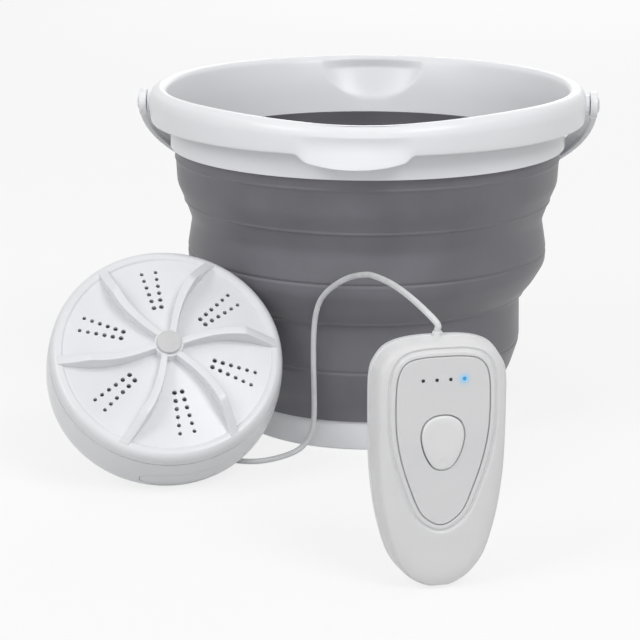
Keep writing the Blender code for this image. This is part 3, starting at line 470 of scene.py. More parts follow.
def wall_radius(height):
    """The wall's outer radius at a height: the folds, rounded, with the hinge lines."""
    share = (height - foot_height) / wall_height
    spread = 0.012
    places = [place for place, _ in wall_shares]
    radii = [radius for _, radius in wall_shares]
    around = [share + spread * step / 2 for step in (-2, -1, 0, 1, 2)]
    radius = rim_radius * float(np.mean(np.interp(around, places, radii)))
    for place, depth_share in hinge_shares:
        off = (share - place) * wall_height / hinge_width
        radius += depth_share * wall_thickness * math.exp(-(off**2))
    return radius


def wall_part(low, high):
    """The wall between two heights, as one closed solid, with rows close at the hinges."""
    rows = 36
    plain = [low + (high - low) * row / rows for row in range(rows + 1)]
    close = [
        foot_height + place * wall_height + off * hinge_width
        for place, _ in hinge_shares
        for off in [0, *hinge_rows, *(-row for row in hinge_rows)]
    ]
    apart = hinge_width / 8
    near = [min(abs(height - other) for other in close) for height in plain]
    heights = [height for height, gap in zip(plain, near) if gap > apart or height in (low, high)]
    heights += [height for height in close if low + apart < height < high - apart]
    outer = [(wall_radius(height), height) for height in sorted(heights)]
    inner = [(wall_radius(height) - wall_thickness, height) for height in reversed(plain)]
    return spun(outer + inner, fine_steps)


lower_bm = wall_part(foot_height, step_height)
lower_fold = add_piece("lower_fold", lower_bm, rubber, "base")
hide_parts("lower_wall")
upper_bm = wall_part(step_height, collar_base - shut_gap)
upper_fold = add_piece("upper_fold", upper_bm, rubber, "base")
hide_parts("upper_wall")
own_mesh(upper_fold)


# Rim
# White polypropylene collar with its top rolled outwards and down for stiffness. A pouring
# lip flares out of the roll at the front and the back, with a scoop inside it, and two
# bosses on its sides carry the bail.
bucket_turn = Matrix.Rotation(math.radians(-3), 4, "Z")
rim_thickness = 0.0026
collar_radius = 0.906 * rim_radius
roll_base = bucket_height - 7.7 * rim_thickness
# The lip, the crest's dip above it and the scoop inside it.
lip_half = 0.0336
lip_shift = -0.0032
lip_drop = 0.007
lip_flare = 0.0034
lip_hollow = 0.0013
crest_dip = 0.0037
dip_half = 0.105
scoop_half = 0.0335
scoop_depth = 0.027
scoop_push = 0.0054
# How far the lip is pulled down across its half width, both as shares.
lip_shares = [(0, 1), (0.25, 0.97), (0.5, 0.84), (0.76, 0.62), (0.84, 0.5), (0.94, 0.12), (1, 0)]
rim_steps = 432
pivot_drop = 0.012
pivot_height = bucket_height - pivot_drop
boss_radius = 0.0062
boss_reach = 0.0019
boss_steps = 48


def smooth_line(points, steps):
    """Flat points along a smooth curve that passes through the given ones."""
    curve = curve_through([(*point, 0) for point in points], steps)
    return [(point.x, point.y) for point in curve]


# The rolled top's section, in and down from its outermost top corner, in thicknesses.
under_roll = [(3.4, 2), (2.5, 1), (1, 3), (1.4, 7.45)]
over_roll = [(0.9, 7.8), (0.35, 7.5), (0.05, 4.5), (0.1, 2.6), (0.8, 0.85), (2.5, 0)]
over_roll += [(3.7, 0.6), (4.4, 2)]


def rim_outline():
    """The rim's section: up the collar's outside, round under the roll, and back inside."""
    under, over = (
        [
            (rim_radius - into * rim_thickness, bucket_height - down * rim_thickness)
            for into, down in rows
        ]
        for rows in (under_roll, over_roll)
    )
    inner = collar_radius - 2 * rim_thickness
    roll_start = roll_base + rim_thickness
    under = [(collar_radius, collar_base), (collar_radius, roll_start)] + under
    over += [(inner + 1.2 * rim_thickness, roll_start), (inner, collar_base)]
    under_steps, over_steps = 5, 11
    return smooth_line(under, under_steps) + smooth_line(over, over_steps)


def shape_lip(bm, side):
    """Pull the roll's skirt down and out into a lip, and push the scoop out behind it."""
    skirt_inner = rim_radius - 2 * rim_thickness
    skirt_top = bucket_height - 3 * rim_thickness
    places = [place for place, _ in lip_shares]
    drops = [drop for _, drop in lip_shares]
    for vert in bm.verts:
        if side * vert.co.y < 0:
            continue
        radius = math.hypot(vert.co.x, vert.co.y)
        push = 0
        across = abs(vert.co.x + side * lip_shift) / lip_half
        if radius > skirt_inner and across < 1 and vert.co.z < skirt_top:
            down = (skirt_top - vert.co.z) / (skirt_top - roll_base)
            drop = float(np.interp(across, places, drops))
            push += drop * (lip_flare * down**3 - lip_hollow * math.sin(math.pi * down))
            vert.co.z -= lip_drop * drop * down**2
        inside = 1 - (vert.co.x / scoop_half) ** 2
        inside -= ((bucket_height - vert.co.z) / scoop_depth) ** 2
        if radius < skirt_inner and inside > 0:
            below = min(1, (bucket_height - vert.co.z) / (3 * rim_thickness))
            push += scoop_push * inside**0.75 * (0.25 + 0.75 * below)
        vert.co.x *= 1 + push / radius
        vert.co.y *= 1 + push / radius
        if side < 0 and abs(vert.co.x) < dip_half:
            upper = max(0, (vert.co.z - roll_base) / (bucket_height - roll_base))
            vert.co.z -= crest_dip * upper * math.cos(math.pi * vert.co.x / dip_half / 2) ** 2


def add_peg(bm, radius, depth, place, segments):
    """A round peg, for a boss or to cut a hole with."""
    bmesh.ops.create_cone(
        bm,
        cap_ends=True,
        segments=segments,
        radius1=radius,
        radius2=radius,
        depth=depth,
        matrix=place,
    )


rim_bm = spun(rim_outline(), rim_steps)
shape_lip(rim_bm, -1)
shape_lip(rim_bm, 1)
boss_start, boss_end = rim_radius - 1.5 * rim_thickness, rim_radius + boss_reach
for side in (-1, 1):
    boss_place = Matrix.Translation((side * (boss_start + boss_end) / 2, 0, pivot_height))
    boss_place @= Matrix.Rotation(math.radians(90), 4, "Y")
    add_peg(rim_bm, boss_radius, boss_end - boss_start, boss_place, boss_steps)
rolled_rim = add_piece(
    "rolled_rim", rim_bm, polypropylene, "rim", bucket_turn
)
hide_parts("rim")


# Bail
# A flat white band bent into half a hoop, with an eye at each end. It hangs down at the back
# from two headed pins and swings over the bucket as its handle.
bail_width = 0.006
bail_thickness = 0.0046
bail_deepening = 1.9
bail_gap = 0.0022
bail_inner = rim_radius + bail_gap
pivot_radius = 0.0023
eye_radius = 0.0082
band_steps, eye_steps = 96, 64


def bail_rest():
    """How far the bail hangs below the level, from where its solid's lowest point is."""
    drop = pivot_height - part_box("bail")[0].z
    reach = bail_inner + bail_width / 2
    half = bail_width / 2
    return math.asin(drop / math.hypot(reach, half)) - math.atan2(half, reach)


def bail_band():
    """The half hoop, its section rounded at the corners, spun from one side to the other.
    Its lower edge is deeper towards the ends."""
    bm = bmesh.new()
    half = bail_width / 2
    corners = [(bail_inner, -half), (bail_inner + bail_thickness, -half)]
    corners += [(bail_inner + bail_thickness, half), (bail_inner, half)]
    section = bm.faces.new([bm.verts.new((radius, 0, height)) for radius, height in corners])
    bmesh.ops.bevel(
        bm,
        geom=list(section.verts),
        offset=bail_thickness / 4,
        affect="VERTICES",
        segments=3,
        profile=0.5,
        material=-1,
    )
    bmesh.ops.spin(
        bm, geom=bm.faces[:] + bm.edges[:], axis=(0, 0, 1), angle=math.pi, steps=band_steps
    )
    for vert in bm.verts:
        if vert.co.z < 0:
            toward_end = vert.co.x**2 / (vert.co.x**2 + vert.co.y**2)
            vert.co.z *= 1 + bail_deepening * toward_end
    return bm


def join(bm, other):
    """Add a finished bmesh to another as a body of its own."""
    mesh = bpy.data.meshes.new("part")
    other.to_mesh(mesh)
    other.free()
    bm.from_mesh(mesh)
    bpy.data.meshes.remove(mesh)


bail_bm = bail_band()
eye_hole, eye_half = pivot_radius + shut_gap, (bail_thickness - shut_gap) / 2
eye_outline = [
    (eye_hole, -eye_half),
    (eye_radius, -eye_half),
    (eye_radius, eye_half),
    (eye_hole, eye_half),
]
for side in (-1, 1):
    eye = soften(spun(eye_outline, eye_steps), eye_half / 4)
    out = Matrix.Translation((side * (bail_inner + bail_thickness / 2), 0, 0))
    out @= Matrix.Rotation(math.radians(90), 4, "Y")
    bmesh.ops.transform(eye, matrix=out, verts=eye.verts)
    join(bail_bm, eye)
hang = Matrix.Translation((0, 0, pivot_height)) @ Matrix.Rotation(-bail_rest(), 4, "X")
hang = bucket_turn @ hang
carrying_bail = add_piece(
    "carrying_bail", bail_bm, polypropylene, "bail", hang
)
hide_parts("bail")


# Pivot pins
# White headed pins, pushed through the bail's eyes into the bosses on the rim.
pin_start = rim_radius - rim_thickness + shut_gap
pin_neck = bail_inner + bail_thickness + shut_gap
pin_head = pin_neck + bail_thickness / 4
pin_steps = 48
pin_outline = [
    (0, pin_start),
    (pivot_radius, pin_start),
    (pivot_radius, pin_neck),
    (2 * pivot_radius, pin_neck),
    (2 * pivot_radius, pin_neck + bail_thickness / 12),
    (1.6 * pivot_radius, pin_head - bail_thickness / 20),
    (0.8 * pivot_radius, pin_head),
    (0, pin_head),
]
for name, side in (("left", -1), ("right", 1)):
    turn_out = bucket_turn @ Matrix.Translation((0, 0, pivot_height))
    turn_out @= Matrix.Rotation(side * math.radians(90), 4, "Y")
    pin_bm = soften(spun(pin_outline, pin_steps), shut_gap, segments=2)
    pin_name = name + "_headed_pin"
    pin = add_piece(pin_name, pin_bm, polypropylene, "rim", turn_out)
    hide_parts(name + "_pivot_pin")


# Turbine housing
# The round back shell of the turbine, injection-moulded in glossy white ABS. A long cover
# with a thin gap round it is let into its lower side.
def gloss_abs():
    """Polished injection-moulded ABS: clean white with a tight, slightly wavy shine."""
    return mottled_look(
        "gloss_abs", ("#e7e8eb", "#eaebee"), patch_size=0.03, gloss=(0.29, 0.33),
        grain_size=0.006, grain_ratio=300, ior=1.54,
    )[0]


def turbine_place():
    """The turbine's own frame: its face's centre and the way that it points."""
    spin = next(joint for joint in frame["joints"] if joint["name"] == "rotor_spin")
    out = Vector(spin["axis"]).normalized()
    across = Vector((0, 0, 1)).cross(out).normalized()
    up = out.cross(across)
    turn = Matrix((across, up, out)).transposed().to_4x4()
    return Matrix.Translation(spin["pos_m"]) @ turn


def carve(bm, cutter):
    """The first solid with the second cut out of it. Both bmeshes are used up."""
    objects = []
    for part in (bm, cutter):
        mesh = bpy.data.meshes.new("carving")
        part.to_mesh(mesh)
        part.free()
        obj = bpy.data.objects.new("carving", mesh)
        bpy.context.scene.collection.objects.link(obj)
        objects.append(obj)
    body, tool = objects
    cut = body.modifiers.new("cut", "BOOLEAN")
    cut.operation = "DIFFERENCE"
    cut.solver = "EXACT"
    cut.object = tool
    bpy.context.view_layer.update()
    finished = body.evaluated_get(bpy.context.evaluated_depsgraph_get())
    carved = bmesh.new()
    carved.from_mesh(finished.data)
    for obj in objects:
        mesh = obj.data
        bpy.data.objects.remove(obj, do_unlink=True)
        bpy.data.meshes.remove(mesh)
    return carved


def lofted(sections, closed=False):
    """A face grown from section to section. A closed loft ends where it began."""
    bm = bmesh.new()
    first = bm.faces.new([bm.verts.new(point) for point in sections[0]])
    face = first
    for section in sections[1:]:
        grown = bmesh.ops.extrude_face_region(bm, geom=[face])
        if face is not first and face.is_valid:
            bmesh.ops.delete(bm, geom=[face], context="FACES_ONLY")
        face = next(part for part in grown["geom"] if isinstance(part, bmesh.types.BMFace))
        for vert, point in zip(face.verts, section):
            vert.co = point
    if closed:
        bmesh.ops.delete(bm, geom=[first, face], context="FACES_ONLY")
        bmesh.ops.remove_doubles(bm, verts=bm.verts, dist=merge_distance)
    bmesh.ops.recalc_face_normals(bm, faces=bm.faces)
    return bm


turbine_radius = 0.066
turbine_depth = 0.048
housing_wall = 0.0022
curve_steps = 4
# The housing's outline: shares of its depth behind the face, and of the turbine's radius.
housing_shares = [
    (0.177, 1.003), (0.26, 1.012), (0.4, 1.018), (0.58, 1.018), (0.7, 1.012),
    (0.8, 0.997), (0.88, 0.96), (0.95, 0.9), (0.985, 0.87), (1.0, 0.84),
]


def housing_radius(depth):
    """The housing's outer radius at a depth behind the face."""
    places = [turbine_depth * place for place, _ in housing_shares]
    radii = [turbine_radius * radius for _, radius in housing_shares]
    return float(np.interp(depth, places, radii))


def housing_solid():
    """The shell, spun from its seam round to the middle of its back and up inside."""
    outer = [(turbine_radius * radius, -turbine_depth * place) for place, radius in housing_shares]
    outer = smooth_line(outer, curve_steps)
    curled_rows = 2 * curve_steps + 1
    dish = turbine_radius / 3
    back = [
        (1.5 * dish, -turbine_depth),
        (1.46 * dish, 0.4 * housing_wall - turbine_depth),
        (0, 0.4 * housing_wall - turbine_depth),
    ]
    inner = [(radius - housing_wall, height) for radius, height in outer[:-curled_rows]]
    low_inner = inner[-1][0] - housing_wall
    floor_level = 1.2 * housing_wall - turbine_depth
    outline = back[::-1] + outer[::-1] + inner + [(low_inner, floor_level), (0, floor_level)]
    return spun(outline, fine_steps)


def cover_solid(margin, proud):
    """The long round-ended cover in the housing's side, or its pocket given a margin."""
    middle, half_height = 0.585 * turbine_depth, 0.16 * turbine_depth
    start, sweep = math.radians(-107), math.radians(54)
    thickness = 0.55 * housing_wall
    spread = margin / turbine_radius
    steps, across = 40, 10
    sections = []
    for step in range(steps + 1):
        along = 2 * step / steps - 1
        half = half_height * max(0.3, (1 - abs(along) ** 5) ** 0.5) + margin
        angle = start + sweep / 2 + (sweep / 2 + spread) * along
        rows = [middle + half * (1 - 2 * row / across) for row in range(across + 1)]
        rim = [(depth, housing_radius(depth) + proud) for depth in rows]
        root = [(depth, housing_radius(depth) - thickness - margin) for depth in rows[::-1]]
        sections.append(
            [(r * math.cos(angle), r * math.sin(angle), -depth) for depth, r in rim + root]
        )
    return lofted(sections)


abs_plastic = gloss_abs()
turbine = turbine_place()
cover_lift = 0.002
housing_bm = carve(housing_solid(), cover_solid(shut_gap, cover_lift))
round_housing = add_piece(
    "round_housing", housing_bm, abs_plastic, "base", turbine
)
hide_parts("turbine_housing")
cover_bm = soften(cover_solid(0, 0), shut_gap / 2, segments=2)
long_cover = add_piece(
    "long_cover", cover_bm, abs_plastic, "base", turbine
)
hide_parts("side_cover")


# Suction feet
# Three soft black cups pushed into the housing's back, which hold the turbine to the bottom
# of a sink.
def nitrile_rubber():
    """Moulded nitrile rubber: matt black, with a dusty bloom."""
    return mottled_look(
        "nitrile_rubber", ("#1b1b1c", "#2b2b2d"), patch_size=0.006, gloss=(0.55, 0.75),
        grain_size=0.0005, grain_ratio=6, ior=1.52,
    )[0]


black_rubber = nitrile_rubber()
foot_cup_radius = 0.13 * turbine_radius
foot_cup_height = 0.003
cup_count, cup_steps = 3, 64
cup_top = -(turbine_depth + shut_gap)
# A cup's outline: shares of its radius, and of its height.
cup_curve = [
    (0.5, 0), (0.55, -0.3), (0.72, -0.62), (1, -0.94), (0.97, -1), (0.86, -0.95),
    (0.55, -0.74), (0.25, -0.66), (0, -0.65),
]
cup_outline = [(0, cup_top)] + [
    (share * foot_cup_radius, cup_top + height * foot_cup_height) for share, height in cup_curve
]
for number in range(cup_count):
    angle = math.radians(90) + math.tau * number / cup_count
    spot = Vector((math.cos(angle), math.sin(angle), 0)) * turbine_radius / 2
    place = turbine @ Matrix.Translation(spot)
    cup_name = "suction_cup_%d" % (number + 1)
    cup_bm = spun(cup_outline, cup_steps)
    cup = add_piece(cup_name, cup_bm, black_rubber, "base", place)
    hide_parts("suction_foot_%d" % (number + 1))


# Turbine's cord gland
# A tapered sleeve of the cord's own soft PVC, moulded on to it where it enters the turbine's
# back. It keeps the cord from kinking there.
def gland_solid(length, wall, gland_radius):
    """A sleeve with a flange inside the wall and ribs down its taper."""
    flange = 1.5 * gland_radius
    tip = 1.3 * cord_radius
    lip = 0.0015
    ribs = max(1, round(length / lip) - 1)
    outline = [(0, -2 * wall), (flange, -2 * wall), (flange, -wall - shut_gap)]
    outline += [(gland_radius, -wall - shut_gap), (gland_radius, lip)]
    for rib in range(ribs):
        here = lip + (length - lip) * (rib + 0.4) / ribs
        after = lip + (length - lip) * (rib + 0.6) / ribs
        radius = gland_radius + (tip - gland_radius) * (rib + 0.5) / ribs
        outline += [(radius + shut_gap / 2, here), (radius - shut_gap, after)]
    outline += [(tip, length), (0, length)]
    return soften(spun(outline, pin_steps), shut_gap / 2, segments=2)


turbine_gland_length = 5 * cord_radius
gland_spot = (-0.09 * turbine_radius, -0.33 * turbine_radius, -turbine_depth)
gland_place = turbine @ Matrix.Translation(gland_spot) @ Matrix.Rotation(math.pi, 4, "X")
gland_bm = gland_solid(turbine_gland_length, housing_wall, 2.2 * cord_radius)
back_sleeve = add_piece("back_sleeve", gland_bm, sheath, "base", gland_place)
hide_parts("turbine_gland")


# Motor deck
# The sealed deck under the rotor keeps the water out of the motor: a white disc with a rubber
# gasket and seal, screwed to three posts, with a bush for the shaft and a cup of gears below.
def dress(look, *names):
    """Give carried-over nodes their finish."""
    for name in names:
        materials = frame["nodes"][name].data.materials
        materials.clear()
        materials.append(look)


def zinc_plated_steel():
    """Zinc-plated steel: bright blue-grey, with the soft spangle of the plating."""
    spangle_size = 0.0015
    drawn = 12
    bright_gloss = (0.22, 0.38)
    look, tree, shader, place = new_look("zinc_plated_steel")
    shader.inputs["Metallic"].default_value = 1
    patches = drifting_colour(tree, shader, place, ("#b9bdc2", "#d3d6d9"), spangle_size)
    drifting_gloss(tree, shader, patches, *bright_gloss)
    stretched = add_node(tree, "ShaderNodeMapping", {"Scale": (1, 1, drawn)}, {"Vector": place})
    lines = stretched.outputs["Vector"]
    fine_grain(tree, shader, lines, spangle_size, spangle_size / 60)
    return look


def sintered_bronze():
    """Sintered bronze: dull warm metal with open pores that hold its oil."""
    look, _, shader, _ = mottled_look(
        "sintered_bronze", ("#8a6a3c", "#c09a5e"), patch_size=0.0004, gloss=(0.4, 0.6),
        grain_size=0.0004, grain_ratio=4, strength=0.6,
    )
    shader.inputs["Metallic"].default_value = 1
    return look


def moulded_nylon():
    """Natural moulded nylon: creamy, waxy and slightly cloudy."""
    return mottled_look(
        "moulded_nylon", ("#e9e4d2", "#f2efe2"), patch_size=0.005, gloss=(0.35, 0.5),
        grain_size=0.0006, grain_ratio=20, ior=1.53,
    )[0]


steel = zinc_plated_steel()
bronze = sintered_bronze()
nylon = moulded_nylon()
dress(abs_plastic, "motor_deck", "gear_plate")
dress(black_rubber, "deck_gasket", "shaft_seal")
dress(steel, "deck_screw_1", "deck_screw_2", "deck_screw_3")
dress(bronze, "shaft_bearing", "lower_bearing")


# Motor and gears
# A small can motor drives the rotor's shaft through a three to one pair of moulded gears.
dress(steel, "motor", "motor_shaft", "impeller_shaft")
dress(nylon, "pinion_gear", "drive_gear")


# Impeller
# One glossy white ABS moulding: a ring that laps over the housing, six shallow panels with
# rows of round water holes, and six curved blades that run level from the hub and then slope
# down to the ring.
blade_level = 0.0112
blade_width = 0.0055
# Where a blade starts, bends and ends, as shares of the radius.
blade_shares = (0.08, 0.67, 0.94)
cone_rise = 0.005
rotor_thickness = 0.0022
rotor_edge = 0.0016
seam_depth = 0.0085
hub_radius = 0.125 * turbine_radius
panel_edge = 0.89 * turbine_radius
blade_count = 6
blade_turn = math.radians(1.5)
hub_steps = 96


def panel_height(distance):
    """The top of the panels at a distance from the axis."""
    return float(np.interp(distance, (hub_radius, panel_edge), (cone_rise, -rotor_edge / 2)))


# The ring's rounded shoulder: shares of the radius, and heights in edge widths.
shoulder_shares = [
    (0.905, 0), (0.925, 0.02), (0.95, -0.15), (0.975, -0.9), (0.992, -2.1), (1, -3.6),
]


def rotor_disc():
    """The panels as a shallow cone inside the rounded ring."""
    shoulder = [(out * turbine_radius, rise * rotor_edge) for out, rise in shoulder_shares]
    shoulder = smooth_line(shoulder, curve_steps)
    skirt = -(seam_depth - 2 * shut_gap)
    rows = 14
    cone = []
    for row in range(rows + 1):
        distance = hub_radius + (panel_edge - hub_radius) * row / rows
        cone.append((distance, panel_height(distance)))
    low_edge = panel_height(panel_edge) - rotor_thickness
    outline = [(0, cone_rise)] + cone + shoulder
    outline += [(turbine_radius, skirt), (turbine_radius - rotor_edge, skirt)]
    outline += [(turbine_radius - rotor_edge, low_edge), (panel_edge, low_edge)]
    outline += [(hub_radius, cone_rise - rotor_thickness), (0, cone_rise - rotor_thickness)]
    return spun(outline, fine_steps)


def water_holes():
    """Cutters for two rows of round holes in each of the six panels."""
    first, last = 0.41 * turbine_radius, 0.77 * turbine_radius
    wide, narrow = 0.00138, 0.0011
    per_row = 6
    hole_steps = 16
    spread = math.radians(4.6)
    middle = math.radians(37)
    cutters = bmesh.new()
    for sector in range(blade_count):
        for side in (-1, 1):
            angle = middle + side * spread + math.tau * sector / blade_count
            for step in range(per_row):
                along = step / (per_row - 1)
                distance = first + (last - first) * along
                radius = wide + (narrow - wide) * along
                spot = (distance * math.cos(angle), distance * math.sin(angle), 0)
                add_peg(cutters, radius, 3 * seam_depth, Matrix.Translation(spot), hole_steps)
    return cutters


def curved_blade():
    """One blade: a bowed wall with a rounded top, level as far as its bend."""
    stations = 28
    start, bend, end = (share * turbine_radius for share in blade_shares)
    sections = []
    for station in range(stations + 1):
        along = station / stations
        distance = start + (end - start) * along
        bow = 0.08 * turbine_radius * math.sin(math.pi * along)
        half = blade_width * (0.35 + 0.15 * along)
        low = panel_height(distance) - rotor_thickness / 2
        high = float(np.interp(distance, (bend, end), (blade_level, rotor_edge / 4)))
        corners = [(-half, low), (half, low), (half, high), (-half, high)]
        sections.append([(distance, across + bow, height) for across, height in corners])
    steep = math.radians(60)
    return soften(lofted(sections), blade_width / 12, steep)


impeller_bm = carve(rotor_disc(), water_holes())
for number in range(blade_count):
    blade = curved_blade()
    turn = Matrix.Rotation(blade_turn + math.tau * number / blade_count, 4, "Z")
    bmesh.ops.transform(blade, matrix=turn, verts=blade.verts)
    join(impeller_bm, blade)
hub_low, hub_high = cone_rise - rotor_thickness / 2, blade_level - shut_gap
hub_outline = [(0, hub_low), (hub_radius, hub_low), (hub_radius, hub_high), (0, hub_high)]
join(impeller_bm, soften(spun(hub_outline, hub_steps), rotor_edge / 6))
bladed_rotor = add_piece(
    "bladed_rotor", impeller_bm, abs_plastic, "rotor", turbine
)
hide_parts("impeller")


# Hub cap
# A pale grey disc pressed into the hub over the rotor's screw.
def satin_cap_plastic():
    """Moulded ABS off a fine-blasted tool: pale grey and satin."""
    return mottled_look(
        "satin_cap_plastic", ("#cacacb", "#d2d2d3"), patch_size=0.01, gloss=(0.38, 0.46),
        grain_size=0.0006, grain_ratio=16, ior=1.54,
    )[0]


cap_radius = 0.11 * turbine_radius - shut_gap
cap_low = blade_level - rotor_edge + shut_gap
cap_top = blade_level + 1.25 * rotor_edge
cap_outline = [
    (0, cap_low),
    (cap_radius, cap_low),
    (cap_radius, cap_top - rotor_edge / 4),
    (cap_radius - rotor_edge / 4, cap_top),
    (0, cap_top),
]
cap_bm = soften(spun(cap_outline, hub_steps), rotor_edge / 12, segments=2)
cap_look = satin_cap_plastic()
grey_cap = add_piece("grey_cap", cap_bm, cap_look, "rotor", turbine)
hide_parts("hub_cap")


# Handset back shell
# The shallow white rear half of the handset, moulded in ABS with rounded edges. Four screws
# sunk in it hold the halves together.
def points_between(points, count):
    """Evenly spaced points along a closed line."""
    line = np.array(points + [points[0]])
    steps = np.hypot(*np.diff(line, axis=0).T)
    along = np.concatenate(([0], np.cumsum(steps)))
    places = np.linspace(0, along[-1], count, endpoint=False)
    xs = np.interp(places, along, line[:, 0])
    ys = np.interp(places, along, line[:, 1])
    return list(zip(xs, ys))


def smooth_outline(shares):
    """A closed smooth outline from a table of (height share, half width share)."""
    right = [(share * handset_width / 2, height * handset_height) for height, share in shares]
    left = [(-x, y) for x, y in reversed(right) if x > 0]
    corners = [Vector(point) for point in right + left]
    count = len(corners)
    lowest = min(point.y for point in corners)
    steps = 6
    result = []
    for number in range(count):
        a, b, c, d = (corners[(number + k) % count] for k in (-1, 0, 1, 2))
        for point in curve_through((a, b, c, d), steps)[steps : 2 * steps]:
            result.append((point.x, max(point.y, lowest)))
    return result


def on_rays(outline, rays):
    """Points of an outline on the same rays from the button's middle as another outline."""
    centre = button_middle * handset_height
    angles = [math.atan2(y - centre, x) for x, y in outline]
    reaches = [math.hypot(x, y - centre) for x, y in outline]
    order = np.argsort(angles)
    angles, reaches = np.array(angles)[order], np.array(reaches)[order]
    reach = np.interp(rays, angles, reaches, period=math.tau)
    return [
        (r * math.cos(angle), centre + r * math.sin(angle)) for r, angle in zip(reach, rays)
    ]


def inset(outline, distance):
    """The outline moved inwards by a distance, or outwards by a negative one."""
    count = len(outline)
    result = []
    for number in range(count):
        before, here, after = (Vector(outline[(number + k) % count]) for k in (-1, 0, 1))
        along = (after - before).normalized()
        result.append((here.x - along.y * distance, here.y + along.x * distance))
    return result


def level(outline, depth):
    """The outline as points at one depth."""
    return [(x, y, depth) for x, y in outline]


def stacked(outline, layers):
    """The outline at each depth of a table, moved inwards by the distance there."""
    return [level(inset(outline, distance), depth) for depth, distance in layers]


handset_width = 0.0677
handset_height = 0.128
front_depth = 0.0135
back_depth = 0.008
shell_wall = 0.0018
button_middle = 0.601
# The body's outline: shares of the handset's height, and of its half width.
body_shares = [
    (0.0, 0.13), (0.02, 0.33), (0.061, 0.53), (0.135, 0.715), (0.255, 0.853), (0.367, 0.933),
    (0.518, 0.987), (0.74, 1.0), (0.862, 0.987), (0.92, 0.907), (0.969, 0.73), (0.995, 0.35),
]
handset_spot = (0.0279, -0.284, 0)
handset_yaw = math.radians(12)
handset = Matrix.Translation(handset_spot) @ Matrix.Rotation(handset_yaw, 4, "Z")
handset @= Matrix.Rotation(math.radians(90), 4, "X")
outline_points = 176
body_line = points_between(smooth_outline(body_shares), outline_points)
rays = [math.atan2(y - button_middle * handset_height, x) for x, y in body_line]
post_radius = 0.0034
screw_head_radius = 0.0028
screw_sink = 0.0022
seat_steps = 32


def screw_places():
    """Where the four screws of the handset stand."""
    heights = [height for height, _ in body_shares]
    halves = [half for _, half in body_shares]
    places = []
    for height_share in (0.44, 0.84):
        half = float(np.interp(height_share, heights, halves)) * handset_width / 2
        across = half - shell_wall - 1.4 * post_radius
        places += [(side * across, height_share * handset_height) for side in (-1, 1)]
    return places


# The back's rounded edge: shares of its depth, and the inset in fillets.
back_round = [(1, 1.6), (0.985, 1), (0.9, 0.5), (0.72, 0.16), (0.45, 0)]


def back_cup():
    """The rear half: round its outside from the back, over its edge and down inside."""
    fillet = back_depth / 2
    layers = [(-depth * back_depth, into * fillet) for depth, into in back_round]
    layers += [
        (-shut_gap, 0),
        (-shut_gap / 2, shut_gap),
        (-shut_gap / 2, shell_wall),
        (-0.6 * back_depth, shell_wall),
        (-0.75 * back_depth, 1.6 * shell_wall),
    ]
    return lofted(stacked(body_line, layers))


def screw_seats():
    """Cutters for the sunk seats of the four screws."""
    cutters = bmesh.new()
    for x, y in screw_places():
        place = Matrix.Translation((x, y, -back_depth))
        add_peg(cutters, screw_head_radius, 2 * screw_sink, place, seat_steps)
    return cutters


rear_bm = carve(back_cup(), screw_seats())
rear_half = add_piece("rear_half", rear_bm, abs_plastic, "base", handset)
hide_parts("back_shell")
dress(steel, "handset_screw_1", "handset_screw_2", "handset_screw_3", "handset_screw_4")


# Handset front shell
# The pale grey front half, moulded in satin ABS. Its edge rolls over like a pillow, a soft
# groove frames the face, and a thin panel is let into it.
def satin_abs():
    """Moulded ABS off a fine-blasted tool: pale grey, satin, with the finest stipple."""
    return mottled_look(
        "satin_abs", ("#e0e0e1", "#e3e3e4"), patch_size=0.03, gloss=(0.36, 0.44),
        grain_size=0.0007, grain_ratio=18, ior=1.54,
    )[0]


# The panel's and the button's outlines, in the same shares.
panel_shares = [
    (0.271, 0.0), (0.285, 0.15), (0.33, 0.32), (0.434, 0.48), (0.537, 0.6), (0.652, 0.675),
    (0.794, 0.685), (0.875, 0.65), (0.922, 0.53), (0.937, 0.3), (0.939, 0.0),
]
button_shares = [
    (0.494, 0.0), (0.505, 0.13), (0.545, 0.235), (0.592, 0.295), (0.638, 0.312),
    (0.679, 0.26), (0.702, 0.14), (0.708, 0.0),
]
# The front's rolled edge: heights and insets, both as shares of its depth.
front_round = [(0.3, 0.032), (0.5, 0.05), (0.64, 0.07), (0.75, 0.1), (0.84, 0.15)]
panel_thickness = 0.0009
# Where the pillow starts and ends, how far it falls and how sharply.
pillow_start = 0.0028
pillow_reach = 0.0095
pillow_fall = 0.19
pillow_power = 2.2
# The groove round the panel, and the gaps at the panel's edge and the button's.
groove_reach = 0.0035
groove_half = 0.0013
groove_depth = 0.0011
line_gap = 0.0006
panel_line = on_rays(smooth_outline(panel_shares), rays)
button_line = on_rays(smooth_outline(button_shares), rays)


def between(outer, inner, share):
    """The points a share of the way from one outline to another."""
    return [(a + (c - a) * share, b + (d - b) * share) for (a, b), (c, d) in zip(outer, inner)]


def pillowed(outline, dip=0):
    """The outline laid on the front's pillow, which rises with the distance from its edge."""
    starts = np.array(body_line)
    runs = np.roll(starts, -1, axis=0) - starts
    lengths = (runs**2).sum(axis=1)
    result = []
    for x, y in outline:
        offsets = np.array((x, y)) - starts
        shares = np.clip((offsets * runs).sum(axis=1) / lengths, 0, 1)
        nearest = np.hypot(*(offsets - runs * shares[:, None]).T).min()
        fall = max(0, 1 - nearest / pillow_reach)
        depth = front_depth * (1 - pillow_fall * fall**pillow_power)
        result.append((x, y, depth - dip))
    return result


